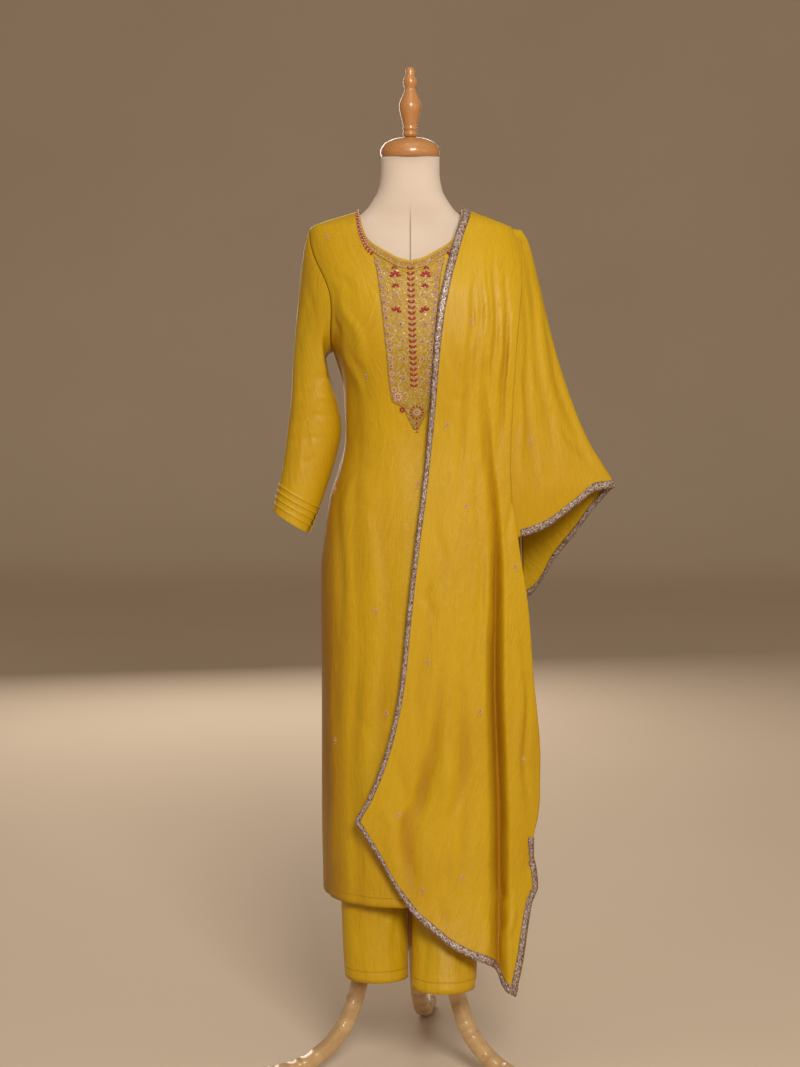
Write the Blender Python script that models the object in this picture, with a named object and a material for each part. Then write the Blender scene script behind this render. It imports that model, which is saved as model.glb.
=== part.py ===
"""Three-piece salwar kameez suit on a limbless dress form.

Metres, +Z up, the wearer's front towards -Y. Every piece is worked out about the pole's
own axis and then stands at AXIS, so that the whole model is centred over its base.
"""
import math

import bmesh
import bpy
from mathutils import Vector

# Driving dimensions
AXIS = (-0.0504, -0.041, 0.0)
SEAM_GAP = 0.0003
SILK_WALL = 0.0015
WAISTBAND_WALL = 0.0020
DUPATTA_WALL = 0.0012
TRIM_WALL = 0.0010
TRIM_LIFT = 0.0007
CURVED_TRIM_LIFT = 0.0014
NECK_BAND_LIFT = 0.0012
NECK_BAND_ROWS = 6
STRIP_GAP = 0.004
KURTA_HEM = 0.315
SLIT_TOP = 0.48
SLIT_OPENING = math.radians(4.0)
UNDERARM = 1.235
SHOULDER_TIP = (0.168, 1.441)
NECK_POINT = (0.086, 1.472)
ARMHOLE_DEPTH = math.radians(33.0)
ARMHOLE_FLARE = 0.012
ARMHOLE_GAP = 0.0010
ARMHOLE_CROWDING = 1.6
SHOULDER_SEAM_INSET = 0.0011
SIDE_SEAM_ANGLE = 0.0012
SLEEVE_BLEND = 0.42
CENTRE_GAP = 0.0004
INSEAM_ANGLE = 0.004
SQUARENESS = 2.4
POLE_RADIUS = 0.014
LACE_WIDTH = 0.013
NECK_BAND_WIDTH = 0.022
FOOT_THICKNESS = 0.026
LEG_WIDTH = 0.028
LEG_FACE = 0.32

# Counts along and across each cloth
BODY_COLUMNS = 18
BACK_BODY_COLUMNS = 14
FRONT_SEAM_SHARE = 4 / BODY_COLUMNS
BACK_SEAM_SHARE = 3 / BACK_BODY_COLUMNS
NECK_BAND_INSET = 1.0 / BODY_COLUMNS
SKIRT_ROWS = 15
ARMHOLE_ROWS = 8
SLEEVE_ROWS = 11
LEG_COLUMNS = 18
DRAPE_COLUMNS = 24
DRAPE_ROWS = 25
ARM_COLUMNS = 18
ARM_ROWS = 11
BACK_COLUMNS = 13
BACK_ROWS = 17
FORM_SIDES = 24

# Kurta sections: height, half width, depth of the front, depth of the back
KURTA = (
    (0.315, 0.150, 0.152, 0.122),
    (0.450, 0.152, 0.139, 0.120),
    (0.650, 0.1515, 0.128, 0.117),
    (0.850, 0.152, 0.120, 0.115),
    (0.975, 0.139, 0.112, 0.100),
    (1.098, 0.1095, 0.104, 0.082),
    (1.160, 0.1115, 0.110, 0.085),
    (1.250, 0.1340, 0.122, 0.092),
    (1.330, 0.1530, 0.112, 0.092),
    (1.400, 0.1710, 0.086, 0.076),
    (1.441, 0.1680, 0.058, 0.054),
    (1.472, 0.0860, 0.040, 0.040),
)

# Form sections, in the same columns
TORSO = (
    (0.780, 0.104, 0.074, 0.074),
    (0.790, 0.119, 0.087, 0.085),
    (0.860, 0.1320, 0.099, 0.096),
    (0.975, 0.1240, 0.097, 0.086),
    (1.098, 0.0990, 0.093, 0.071),
    (1.160, 0.1000, 0.098, 0.073),
    (1.250, 0.1190, 0.107, 0.080),
    (1.330, 0.1330, 0.096, 0.080),
    (1.400, 0.1420, 0.068, 0.060),
    (1.432, 0.1370, 0.043, 0.040),
    (1.4480, 0.1180, 0.037, 0.036),
    (1.4600, 0.0920, 0.036, 0.038),
    (1.4700, 0.0770, 0.041, 0.042),
    (1.4850, 0.0650, 0.042, 0.045),
    (1.5080, 0.0530, 0.043, 0.046),
    (1.5360, 0.0490, 0.042, 0.045),
    (1.5600, 0.0490, 0.042, 0.045),
)

# Front neckline: distance from the centre front, height
NECKLINE = (
    (0.000, 1.388),
    (0.020, 1.3925),
    (0.038, 1.402),
    (0.056, 1.412),
    (0.071, 1.425),
    (0.080, 1.446),
    (0.086, 1.472),
)

# Back neckline, in the same columns
BACK_NECKLINE = (
    (0.000, 1.440),
    (0.030, 1.4415),
    (0.055, 1.446),
    (0.075, 1.456),
    (0.086, 1.472),
)

# Sleeve sections: share of the length, outer height, inner height, outer side, inner side,
# half depth, y of the centre
SLEEVE = (
    (0.00, 1.425, 1.235, 0.1850, 0.1400, 0.050, 0.000),
    (0.20, 1.360, 1.190, 0.1895, 0.1320, 0.047, 0.000),
    (0.38, 1.280, 1.150, 0.1925, 0.1225, 0.043, 0.000),
    (0.55, 1.190, 1.105, 0.1980, 0.1165, 0.040, -0.003),
    (0.70, 1.115, 1.060, 0.2050, 0.1250, 0.037, -0.007),
    (0.85, 1.040, 1.000, 0.2160, 0.1440, 0.034, -0.012),
    (1.00, 0.969, 0.930, 0.2320, 0.1700, 0.031, -0.018),
)

# Folds of the kurta's skirt: degrees round from the wearer's right side, top, depth, half width
KURTA_FOLDS = (
    (24.0, 1.00, 0.0035, 7.0),
    (58.0, 0.80, 0.0030, 9.0),
    (96.0, 0.70, 0.0035, 10.0),
    (134.0, 0.90, 0.0035, 8.0),
    (205.0, 0.95, 0.0040, 8.0),
    (247.0, 0.85, 0.0040, 9.0),
    (290.0, 0.90, 0.0040, 9.0),
    (332.0, 0.95, 0.0035, 8.0),
)

# Trouser legs, shared: height, inner side, outer side, half depth
TROUSER_TUBE = (
    (0.150, 0.003, 0.104, 0.041),
    (0.200, 0.003, 0.112, 0.043),
    (0.320, 0.004, 0.118, 0.045),
    (0.450, 0.010, 0.124, 0.050),
    (0.600, 0.0155, 0.134, 0.066),
    (0.700, 0.0165, 0.142, 0.084),
    (0.800, 0.0165, 0.142, 0.100),
)
# Lower end of each leg and how far its tube hangs forward: height, right leg, left leg
TROUSER_DRIFT = (
    (0.150, -0.100, -0.150),
    (0.250, -0.084, -0.110),
    (0.320, -0.072, -0.082),
    (0.450, -0.044, -0.048),
    (0.600, -0.018, -0.018),
    (0.720, 0.000, 0.000),
)
TROUSER_HEM = {"right": 0.180, "left": 0.176}
TROUSER_TOP = 0.975
# Heights between the hem and the waistband where a trouser leg's rows lie
TROUSER_ROWS = (
    0.230, 0.315, 0.450, 0.580, 0.655, 0.695, 0.730, 0.765, 0.790, 0.825, 0.860, 0.9175,
)
CROTCH_LOW, CROTCH_HIGH = 0.655, 0.765
WAISTBAND_TOP = 1.005
TROUSER_EASE = 0.0055

# Space that the dupatta hangs round: height, half width, depth in front, depth behind
DRAPE = (
    (0.150, 0.250, 0.212, 0.142),
    (0.220, 0.250, 0.197, 0.142),
    (0.320, 0.250, 0.172, 0.140),
    (0.450, 0.250, 0.158, 0.137),
    (0.650, 0.245, 0.146, 0.132),
    (0.850, 0.245, 0.136, 0.126),
    (0.975, 0.240, 0.127, 0.114),
    (1.100, 0.232, 0.120, 0.104),
    (1.250, 0.222, 0.129, 0.103),
    (1.330, 0.212, 0.119, 0.101),
    (1.400, 0.193, 0.092, 0.082),
    (1.4435, 0.1700, 0.062, 0.058),
    (1.4755, 0.0880, 0.044, 0.047),
)

# Edges of the dupatta's front fall: height, inner edge, turned edge, length turned back
FRONT_FALL = (
    (0.150, -0.091, 0.170, 0.004),
    (0.220, -0.091, 0.187, 0.005),
    (0.278, -0.091, 0.197, 0.006),
    (0.314, -0.091, 0.204, 0.008),
    (0.337, -0.091, 0.215, 0.012),
    (0.417, -0.091, 0.207, 0.020),
    (0.462, -0.091, 0.216, 0.040),
    (0.493, -0.075, 0.219, 0.050),
    (0.552, -0.050, 0.219, 0.060),
    (0.625, -0.029, 0.214, 0.070),
    (0.703, -0.015, 0.206, 0.075),
    (0.808, -0.005, 0.197, 0.070),
    (0.923, 0.008, 0.179, 0.036),
    (1.006, 0.019, 0.169, 0.020),
    (1.073, 0.026, 0.165, 0.018),
    (1.154, 0.033, 0.168, 0.018),
    (1.232, 0.038, 0.173, 0.016),
    (1.306, 0.045, 0.179, 0.014),
    (1.363, 0.056, 0.183, 0.009),
    (1.411, 0.069, 0.183, 0.005),
    (1.4435, 0.079, 0.170, 0.003),
    (1.4745, 0.088, 0.088, 0.002),
)
TURN_SHARE = 0.80
TURN_ROLL = 0.002
TURN_LEAN = 0.10
RIDGE_GAP = 0.0012
SHOULDER_CROWDING = 1.6
SHOULDER_SETTLE = 0.030

# Lower end of the front fall: share across, height
FRONT_END = (
    (0.00, 0.462),
    (0.06, 0.435),
    (0.15, 0.392),
    (0.23, 0.347),
    (0.335, 0.308),
    (0.45, 0.281),
    (0.555, 0.258),
    (0.665, 0.241),
    (0.80, 0.224),
    (0.93, 0.180),
    (1.00, 0.168),
)

# Deep fold of the front fall: height, x of its middle, depth, half width
DEEP_FOLD = (
    (0.150, 0.148, 0.026, 0.019),
    (0.430, 0.149, 0.034, 0.020),
    (0.570, 0.145, 0.036, 0.019),
    (0.710, 0.141, 0.034, 0.018),
    (0.880, 0.142, 0.022, 0.016),
    (0.980, 0.137, 0.013, 0.014),
    (1.100, 0.125, 0.008, 0.013),
    (1.250, 0.118, 0.004, 0.012),
    (1.400, 0.115, 0.000, 0.012),
)

# Lesser folds: share across, lowest and highest height, depth, half width as a share
LESSER_FOLDS = (
    (0.30, 0.20, 0.90, 0.006, 0.08),
    (0.42, 0.95, 1.38, 0.004, 0.07),
    (0.50, 0.25, 0.70, 0.005, 0.07),
    (0.86, 0.98, 1.36, 0.007, 0.07),
)

# Dupatta over the arm: height, reach of its tip
ARM_TIP = (
    (0.860, 0.352),
    (1.005, 0.348),
    (1.043, 0.328),
    (1.073, 0.309),
    (1.121, 0.286),
    (1.212, 0.253),
    (1.286, 0.232),
    (1.378, 0.210),
    (1.422, 0.197),
    (1.440, 0.186),
)
# Hem and top of the arm stretch: share round from front to back, hem height, top height
ARM_ENDS = (
    (0.00, 0.925, 1.392),
    (0.12, 0.941, 1.405),
    (0.25, 0.975, 1.424),
    (0.38, 1.004, 1.436),
    (0.50, 1.006, 1.439),
    (0.62, 0.975, 1.436),
    (0.75, 0.918, 1.424),
    (0.88, 0.878, 1.405),
    (1.00, 0.862, 1.392),
)
ARM_POINT = 1.25
ARM_TUCK = 0.006
ARM_TUCK_GAP = 0.0022
ARM_BACK_GAP = 0.0016
ARM_NEAREST = 0.016
ARM_LACE_START = 0.03

# Edges of the dupatta's back fall: height, inner edge, outer edge
BACK_FALL = (
    (0.200, 0.010, 0.200),
    (0.500, 0.020, 0.203),
    (0.850, 0.035, 0.196),
    (1.100, 0.048, 0.184),
    (1.300, 0.060, 0.184),
    (1.400, 0.074, 0.183),
    (1.4435, 0.082, 0.170),
    (1.4745, 0.088, 0.088),
)
BACK_END = (0.205, 0.235)
BACK_FOLDS = (
    (0.22, 0.011, 0.085),
    (0.47, 0.009, 0.075),
    (0.72, 0.012, 0.090),
)

# Yoke: height, left edge, right edge
YOKE = (
    (1.112, 0.006, 0.012),
    (1.132, -0.004, 0.023),
    (1.150, -0.012, 0.031),
    (1.160, -0.030, 0.034),
    (1.257, -0.041, 0.041),
    (1.358, -0.054, 0.050),
    (1.385, -0.060, 0.056),
)
YOKE_ROWS = 14
YOKE_COLUMNS = 6
YOKE_GAP = 0.004

# Turned profiles: radius, height
NECK_CAP = (
    (0.0470, 1.5605),
    (0.0495, 1.5640),
    (0.0500, 1.5700),
    (0.0470, 1.5780),
    (0.0380, 1.5860),
    (0.0240, 1.5915),
    (0.0090, 1.5930),
)
FINIAL = (
    (0.0088, 1.5935),
    (0.0122, 1.5965),
    (0.0124, 1.6010),
    (0.0105, 1.6035),
    (0.0124, 1.6065),
    (0.0118, 1.6120),
    (0.0145, 1.6230),
    (0.0178, 1.6370),
    (0.0186, 1.6450),
    (0.0150, 1.6560),
    (0.0096, 1.6690),
    (0.0086, 1.6740),
    (0.0112, 1.6790),
    (0.0119, 1.6840),
    (0.0108, 1.6900),
    (0.0078, 1.6930),
    (0.0074, 1.7040),
    (0.0050, 1.7085),
)
HUB = (
    (0.0150, 0.2000),
    (0.0290, 0.2040),
    (0.0320, 0.2120),
    (0.0320, 0.2760),
    (0.0280, 0.2860),
    (0.0190, 0.2960),
)

# Middle line of a stand leg: distance from the pole, height
LEG_LINE = (
    (0.0323, 0.2400),
    (0.0600, 0.2300),
    (0.0830, 0.1960),
    (0.0960, 0.1500),
    (0.1100, 0.1040),
    (0.1290, 0.0680),
    (0.1580, 0.0400),
    (0.1950, 0.0200),
    (0.2300, 0.0118),
    (0.2700, 0.0110),
)
LEG_TURN = {"right": 205.0, "left": -36.0, "back": 82.0}

# Finishes: colour, roughness
FINISH = {
    "silk": ((0.60, 0.36, 0.012), 0.42),
    "embroidery": ((0.62, 0.33, 0.10), 0.50),
    "lace": ((0.48, 0.36, 0.26), 0.35),
    "linen": ((0.78, 0.62, 0.46), 0.85),
    "wood": ((0.56, 0.27, 0.085), 0.30),
}


def clear_scene():
    for thing in list(bpy.data.objects):
        bpy.data.objects.remove(thing, do_unlink=True)


def read(rows, key, column):
    """One column of a table at the key, on a smooth curve that does not overshoot."""
    keys = [row[0] for row in rows]
    values = [row[column] for row in rows]
    if key <= keys[0]:
        return values[0]
    if key >= keys[-1]:
        return values[-1]
    index = max(i for i in range(len(keys) - 1) if keys[i] <= key)
    slopes = [(values[i + 1] - values[i]) / (keys[i + 1] - keys[i]) for i in range(len(keys) - 1)]

    def tangent(i):
        if i == 0 or i == len(keys) - 1:
            return slopes[min(i, len(slopes) - 1)]
        before, after = slopes[i - 1], slopes[i]
        if before * after <= 0:
            return 0.0
        return 2.0 * before * after / (before + after)

    span = keys[index + 1] - keys[index]
    t = (key - keys[index]) / span
    start, end = values[index], values[index + 1]
    return (
        start * (1 + 2 * t) * (1 - t) ** 2
        + end * (3 - 2 * t) * t * t
        + tangent(index) * span * t * (1 - t) ** 2
        - tangent(index + 1) * span * t * t * (1 - t)
    )


def ease(value, low, high):
    """0 below low, 1 above high and smooth between them."""
    t = min(max((value - low) / (high - low), 0.0), 1.0)
    return t * t * (3 - 2 * t)


def bump(distance, half_width):
    """A soft hump, 1 at its middle and 0 past its half width."""
    if abs(distance) >= half_width:
        return 0.0
    return 0.5 * (1 + math.cos(math.pi * distance / half_width))


def rounded(half_width, front, back, angle):
    """A point on a rounded section: 0 at the wearer's right, a quarter turn at the front."""
    power = 2.0 / SQUARENESS
    c, s = math.cos(angle), math.sin(angle)
    x = -half_width * math.copysign(abs(c) ** power, c)
    depth = -front if s > 0 else back
    return x, depth * abs(s) ** power


def depth_at(half_width, depth, x):
    """How far a rounded section stands from its long axis at x."""
    share = min(abs(x) / half_width, 1.0)
    return depth * (1 - share ** SQUARENESS) ** (1 / SQUARENESS)


def material(name):
    made = bpy.data.materials.get(name)
    if made:
        return made
    colour, roughness = FINISH[name]
    made = bpy.data.materials.new(name)
    made.use_nodes = True
    shader = made.node_tree.nodes["Principled BSDF"]
    shader.inputs["Base Color"].default_value = (*colour, 1.0)
    shader.inputs["Roughness"].default_value = roughness
    shader.inputs["Metallic"].default_value = 0.0
    return made


def finish(bm, name, finish_name):
    bm.normal_update()
    mesh = bpy.data.meshes.new(name)
    bm.to_mesh(mesh)
    bm.free()
    mesh.shade_smooth()
    thing = bpy.data.objects.new(name, mesh)
    thing.location = AXIS
    bpy.context.scene.collection.objects.link(thing)
    mesh.materials.append(material(finish_name))
    return thing


def grid(columns, rows, surface, closed=False):
    """A grid whose columns run round and rows run up, laid on a surface of (u, v)."""
    bm = bmesh.new()
    bmesh.ops.create_grid(bm, x_segments=columns, y_segments=rows, size=0.5)
    for vert in bm.verts:
        u = round((vert.co.x + 0.5) * columns) / columns
        v = round((vert.co.y + 0.5) * rows) / rows
        vert.co = surface(u, v)
    if closed:
        bmesh.ops.remove_doubles(bm, verts=bm.verts, dist=0.00001)
    return bm


def thicken(thing, wall, side):
    """Give a sheet its wall: side -1 is behind its outer face, 1 in front of it."""
    solidify = thing.modifiers.new("Wall", "SOLIDIFY")
    solidify.thickness = wall
    solidify.offset = side
    solidify.use_even_offset = False
    return thing


def cloth(name, columns, rows, surface, wall, side=-1, closed=False, finish_name="silk"):
    return thicken(finish(grid(columns, rows, surface, closed), name, finish_name), wall, side)


def laid_on(columns, rows, surface):
    """The faceted form of a grid as a function of (u, v) and of the height over it."""
    points = [[surface(i / columns, j / rows) for j in range(rows + 1)] for i in range(columns + 1)]

    def face_normal(i, j):
        a, b = points[i][j], points[i + 1][j + 1]
        return (b - a).cross(points[i][j + 1] - points[i + 1][j]).normalized()

    def corner_normal(i, j):
        total = Vector()
        for m in (i - 1, i):
            for n in (j - 1, j):
                if 0 <= m < columns and 0 <= n < rows:
                    total += face_normal(m, n)
        return total.normalized()

    normals = [[corner_normal(i, j) for j in range(rows + 1)] for i in range(columns + 1)]

    def over(u, v, height):
        i = min(int(u * columns), columns - 1)
        j = min(int(v * rows), rows - 1)
        s, t = u * columns - i, v * rows - j
        near, far = [], []
        for k, values in ((i, near), (i + 1, far)):
            for m in (j, j + 1):
                values.append(points[k][m] + normals[k][m] * height)
        low = near[0] * (1 - s) + far[0] * s
        high = near[1] * (1 - s) + far[1] * s
        return low * (1 - t) + high * t

    return over


def turned(name, profile, sides, finish_name):
    """A solid of revolution about the pole, closed at both ends."""
    bm = bmesh.new()
    ring = [bm.verts.new((radius, 0.0, height)) for radius, height in profile]
    edges = [bm.edges.new(pair) for pair in zip(ring, ring[1:])]
    bmesh.ops.spin(
        bm, geom=ring + edges, cent=(0, 0, 0), axis=(0, 0, 1),
        angle=math.tau, steps=sides, use_merge=True,
    )
    rims = [edge for edge in bm.edges if edge.is_boundary]
    bmesh.ops.holes_fill(bm, edges=rims, sides=0)
    bmesh.ops.recalc_face_normals(bm, faces=bm.faces)
    return finish(bm, name, finish_name)


def kurta_point(angle, height):
    """A point on the outer face of the kurta's body."""
    half_width = read(KURTA, height, 1)
    front, back = read(KURTA, height, 2), read(KURTA, height, 3)
    degrees = math.degrees(angle) % 360.0
    for place, top, depth, spread in KURTA_FOLDS:
        pull = depth * bump(degrees - place, spread) * (1 - ease(height, KURTA_HEM, top))
        front -= pull
        back -= pull
        half_width -= 0.5 * pull
    x, y = rounded(half_width, front, back, angle)
    return Vector((x, y, height))


def armhole_angle(share):
    """How far in from the side the armhole's edge lies, from the underarm up."""
    return ARMHOLE_DEPTH * math.sin(math.pi * share) ** 0.8


def crowd_shoulder(v):
    """Rows that lie closer together from the underarm up to the shoulder."""
    split = SKIRT_ROWS / (SKIRT_ROWS + ARMHOLE_ROWS)
    if v <= split:
        return v
    return split + (1 - split) * (1 - ((1 - v) / (1 - split)) ** ARMHOLE_CROWDING)


def kurta_edge(v):
    """The side edge as an angle in from the side and a height."""
    split = SKIRT_ROWS / (SKIRT_ROWS + ARMHOLE_ROWS)
    if v <= split:
        height = KURTA_HEM + (UNDERARM - KURTA_HEM) * v / split
        opening = SLIT_OPENING * (1 - ease(height, KURTA_HEM, SLIT_TOP))
        return opening + SIDE_SEAM_ANGLE, height
    share = (v - split) / (1 - split)
    return max(armhole_angle(share), SIDE_SEAM_ANGLE), UNDERARM + (SHOULDER_TIP[1] - UNDERARM) * share


def kurta_rim(u, neckline, seam):
    """The shoulder seams and the neckline between them, as x and height."""
    side = min(u, 1 - u)
    if side <= seam:
        height = SHOULDER_TIP[1] + (NECK_POINT[1] - SHOULDER_TIP[1]) * side / seam
        x = read(KURTA, height, 1)
    else:
        x = NECK_POINT[0] * math.sin((0.5 - side) / (0.5 - seam) * math.pi / 2)
        height = read(neckline, x, 1)
    return (-x if u < 0.5 else x), height


def kurta_panel(neckline, back):
    """Front or back of the kurta's body between its hem, side seams, armholes and neckline."""
    seam = BACK_SEAM_SHARE if back else FRONT_SEAM_SHARE
    depth_column = 3 if back else 2
    yoke_start = crowd_shoulder((SKIRT_ROWS + 2) / (SKIRT_ROWS + ARMHOLE_ROWS))

    def ring(u, v):
        inset, height = kurta_edge(v)
        angle = inset + (math.pi - 2 * inset) * u
        return kurta_point(-angle if back else angle, height)

    def surface(u, v):
        v = crowd_shoulder(v)
        across = 1 - u if back else u
        if v <= yoke_start:
            return ring(across, v)
        low, high = ring(across, yoke_start), kurta_rim(across, neckline, seam)
        left, left_low = ring(0.0, v), ring(0.0, yoke_start)
        t = (left.z - left_low.z) / (SHOULDER_TIP[1] - left_low.z)
        tip = kurta_rim(0.0, neckline, seam)[0]
        side = left.x - (left_low.x * (1 - t) + tip * t)
        x = low.x * (1 - t) + high[0] * t + side * (1 - 2 * across)
        height = low.z * (1 - t) + high[1] * t
        depth = depth_at(read(KURTA, height, 1), read(KURTA, height, depth_column), x)
        depth = max(depth, SHOULDER_SEAM_INSET)
        return Vector((x, depth if back else -depth, height))

    return surface


def sleeve_surface(side):
    """A sleeve from the armhole's edge to the cuff; side is -1 for the wearer's right."""
    split = SKIRT_ROWS / (SKIRT_ROWS + ARMHOLE_ROWS)

    def armhole(share):
        front = share <= 0.5
        up = 2 * share if front else 2 - 2 * share
        angle, height = kurta_edge(crowd_shoulder(split + (1 - split) * min(max(up, 0.0), 1.0)))
        point = kurta_point(angle if front else -angle, height)
        return Vector((ARMHOLE_GAP - point.x, point.y, point.z))

    def surface(u, v):
        # u runs from the underarm up the front, over the top and down the back
        share = u if side > 0 else 1 - u
        down = 1 - v
        turn = math.tau * share
        outward = 0.5 - 0.5 * math.cos(turn)
        height = read(SLEEVE, down, 2) * (1 - outward) + read(SLEEVE, down, 1) * outward
        x = read(SLEEVE, down, 4) * (1 - outward) + read(SLEEVE, down, 3) * outward
        y = read(SLEEVE, down, 6) - read(SLEEVE, down, 5) * math.sin(turn)
        tube = Vector((x, y, height))
        edge = armhole(share)
        blend = ease(down, 0.0, SLEEVE_BLEND)
        place = edge * (1 - blend) + tube * blend
        place.x += ARMHOLE_FLARE * 4 * blend * (1 - blend) * (1 - outward)
        return Vector((side * place.x, place.y, place.z))

    return surface


def trouser_surface(side):
    """One trouser leg, cut in one piece, from its front inseam round to its back inseam."""
    name = "left" if side > 0 else "right"
    drift = 2 if side > 0 else 1
    levels = (TROUSER_HEM[name], *TROUSER_ROWS, TROUSER_TOP)

    def surface(u, v):
        share = u if side > 0 else 1 - u
        height = levels[round(v * (len(levels) - 1))]
        half_width = read(TORSO, height, 1) + TROUSER_EASE
        front = read(TORSO, height, 2) + TROUSER_EASE
        back = read(TORSO, height, 3) + TROUSER_EASE
        angle = math.pi / 2 - math.pi * share
        x, y = rounded(half_width, front, back, angle)
        upper = Vector((max(-x, CENTRE_GAP), y, height))
        inner, outer = read(TROUSER_TUBE, height, 1), read(TROUSER_TUBE, height, 2)
        turn = INSEAM_ANGLE + (math.tau - 2 * INSEAM_ANGLE) * share
        middle, reach = 0.5 * (inner + outer), 0.5 * (outer - inner)
        tube = Vector((
            middle - reach * math.cos(turn),
            read(TROUSER_DRIFT, height, drift) - read(TROUSER_TUBE, height, 3) * math.sin(turn),
            height,
        ))
        blend = ease(height, CROTCH_LOW, CROTCH_HIGH)
        place = tube * (1 - blend) + upper * blend
        return Vector((side * place.x, place.y, place.z))

    return surface


def waistband_surface(u, v):
    height = TROUSER_TOP + SEAM_GAP + (WAISTBAND_TOP - TROUSER_TOP) * v
    half_width = read(TORSO, height, 1) + TROUSER_EASE
    front = read(TORSO, height, 2) + TROUSER_EASE
    back = read(TORSO, height, 3) + TROUSER_EASE
    x, y = rounded(half_width, front, back, math.tau * u)
    return Vector((x, y, height))


def climb(v, rows, length, crowding):
    """Distance up a stretch of cloth: the first row is as wide as the lace."""
    first = 1.0 / rows
    if v <= first:
        return LACE_WIDTH * v / first
    rest = (v - first) / (1 - first)
    return LACE_WIDTH + (length - LACE_WIDTH) * (1 - (1 - rest) ** crowding)


def reach_across(u, columns, width):
    """Share of a stretch's width at u: the first column is as wide as the lace."""
    first = 1.0 / columns
    lace = min(LACE_WIDTH / max(width, LACE_WIDTH), first)
    if u <= first:
        return lace * u / first
    return lace + (1 - lace) * (u - first) / (1 - first)


def drape_top(across):
    """Where the ridge over the shoulder seam lies, as x and height."""
    x = DRAPE[-1][1] + (DRAPE[-2][1] - DRAPE[-1][1]) * across
    low, high = DRAPE[-2], DRAPE[-1]
    return x, low[0] + (high[0] - low[0]) * (low[1] - x) / (low[1] - high[1])


def front_fall(u, v):
    """The dupatta's front fall: its lace edge at u 0, its turned-back edge at u 1."""
    flat_columns = round(TURN_SHARE * DRAPE_COLUMNS)
    flat_share = flat_columns / DRAPE_COLUMNS
    run = min(u / flat_share, 1.0)
    turned_share = max(u - flat_share, 0.0) / (1 - flat_share)
    top_x, top = drape_top(run)
    bottom = read(FRONT_END, run, 1)
    height = bottom + climb(v, DRAPE_ROWS, top - bottom, SHOULDER_CROWDING)
    inner, outer = read(FRONT_FALL, height, 1), read(FRONT_FALL, height, 2)
    if height > DRAPE[-2][0]:
        outer = DRAPE[-2][1] + (DRAPE[-1][1] - DRAPE[-2][1]) * (
            (height - DRAPE[-2][0]) / (DRAPE[-1][0] - DRAPE[-2][0])
        )
    across = reach_across(run, flat_columns, outer - inner)
    x = inner + (outer - inner) * across
    near_top = 1 - ease(top - height, 0.0, SHOULDER_SETTLE)
    x = x * (1 - near_top) + top_x * near_top
    half_width = read(DRAPE, height, 1)
    y = -depth_at(half_width, read(DRAPE, height, 2), min(x, half_width))
    inward = read(DEEP_FOLD, height, 2) * bump(
        x - read(DEEP_FOLD, height, 1), read(DEEP_FOLD, height, 3)
    )
    for place, low, high, depth, spread in LESSER_FOLDS:
        middle, half = 0.5 * (low + high), 0.5 * (high - low)
        inward += depth * bump(across - place, spread) * bump(height - middle, half)
    y = min(y + inward, -RIDGE_GAP)
    length = read(FRONT_FALL, height, 3) * turned_share
    x += (TURN_ROLL * math.sin(math.pi * turned_share) - TURN_LEAN * length) * (1 - near_top)
    return Vector((x, y + length * (1 - near_top), height))


def back_fall(u, v):
    """The dupatta's back fall, from its outer edge at u 0 to its inner edge at u 1."""
    run = 1 - u
    top_x, top = drape_top(run)
    bottom = BACK_END[1] + (BACK_END[0] - BACK_END[1]) * run
    height = bottom + climb(v, BACK_ROWS, top - bottom, SHOULDER_CROWDING)
    inner, outer = read(BACK_FALL, height, 1), read(BACK_FALL, height, 2)
    across = reach_across(run, BACK_COLUMNS, outer - inner)
    x = inner + (outer - inner) * across
    near_top = 1 - ease(top - height, 0.0, SHOULDER_SETTLE)
    x = x * (1 - near_top) + top_x * near_top
    half_width = read(DRAPE, height, 1)
    y = depth_at(half_width, read(DRAPE, height, 3), min(x, half_width))
    for place, depth, spread in BACK_FOLDS:
        y += depth * bump(across - place, spread) * (1 - ease(height, 0.75, 1.40))
    return Vector((x, max(y, RIDGE_GAP), height))


def arm_surface(u, v):
    """The dupatta over the arm, from behind the front fall round to the back fall."""
    bottom, top = read(ARM_ENDS, u, 1), read(ARM_ENDS, u, 2)
    height = bottom + climb(v, ARM_ROWS, top - bottom, 1.0)
    half_width = read(DRAPE, height, 1)
    front_edge, back_edge = read(FRONT_FALL, height, 2), read(BACK_FALL, height, 2)
    start_x = front_edge - ARM_TUCK
    start_y = -depth_at(half_width, read(DRAPE, height, 2), front_edge)
    start_y = min(start_y + read(FRONT_FALL, height, 3) + ARM_TUCK_GAP, -ARM_NEAREST)
    end_x = back_edge + ARM_BACK_GAP
    end_y = max(depth_at(half_width, read(DRAPE, height, 3), back_edge), ARM_NEAREST)
    tip = read(ARM_TIP, height, 1)
    root = start_x + (end_x - start_x) * u
    x = root + (tip - root) * (1 - abs(1 - 2 * u) ** ARM_POINT)
    y = start_y + (end_y - start_y) * u
    return Vector((x, y, height))


def neck_band_strip(panel, rows):
    """The embroidered band round the front neckline, on the front panel's own facets."""
    seam = FRONT_SEAM_SHARE

    def lower_edge(across):
        low, high = 0.6, 1.0
        for _ in range(24):
            middle = 0.5 * (low + high)
            if (panel(across, middle, 0) - panel(across, 1.0, 0)).length > NECK_BAND_WIDTH:
                low = middle
            else:
                high = middle
        return low

    def surface(u, v):
        across = seam + NECK_BAND_INSET + (1 - 2 * seam - 2 * NECK_BAND_INSET) * u
        edge = lower_edge(across)
        row = (rows - NECK_BAND_ROWS * (1 - v)) / rows
        return panel(across, max(row, edge), NECK_BAND_LIFT)

    return surface


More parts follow.
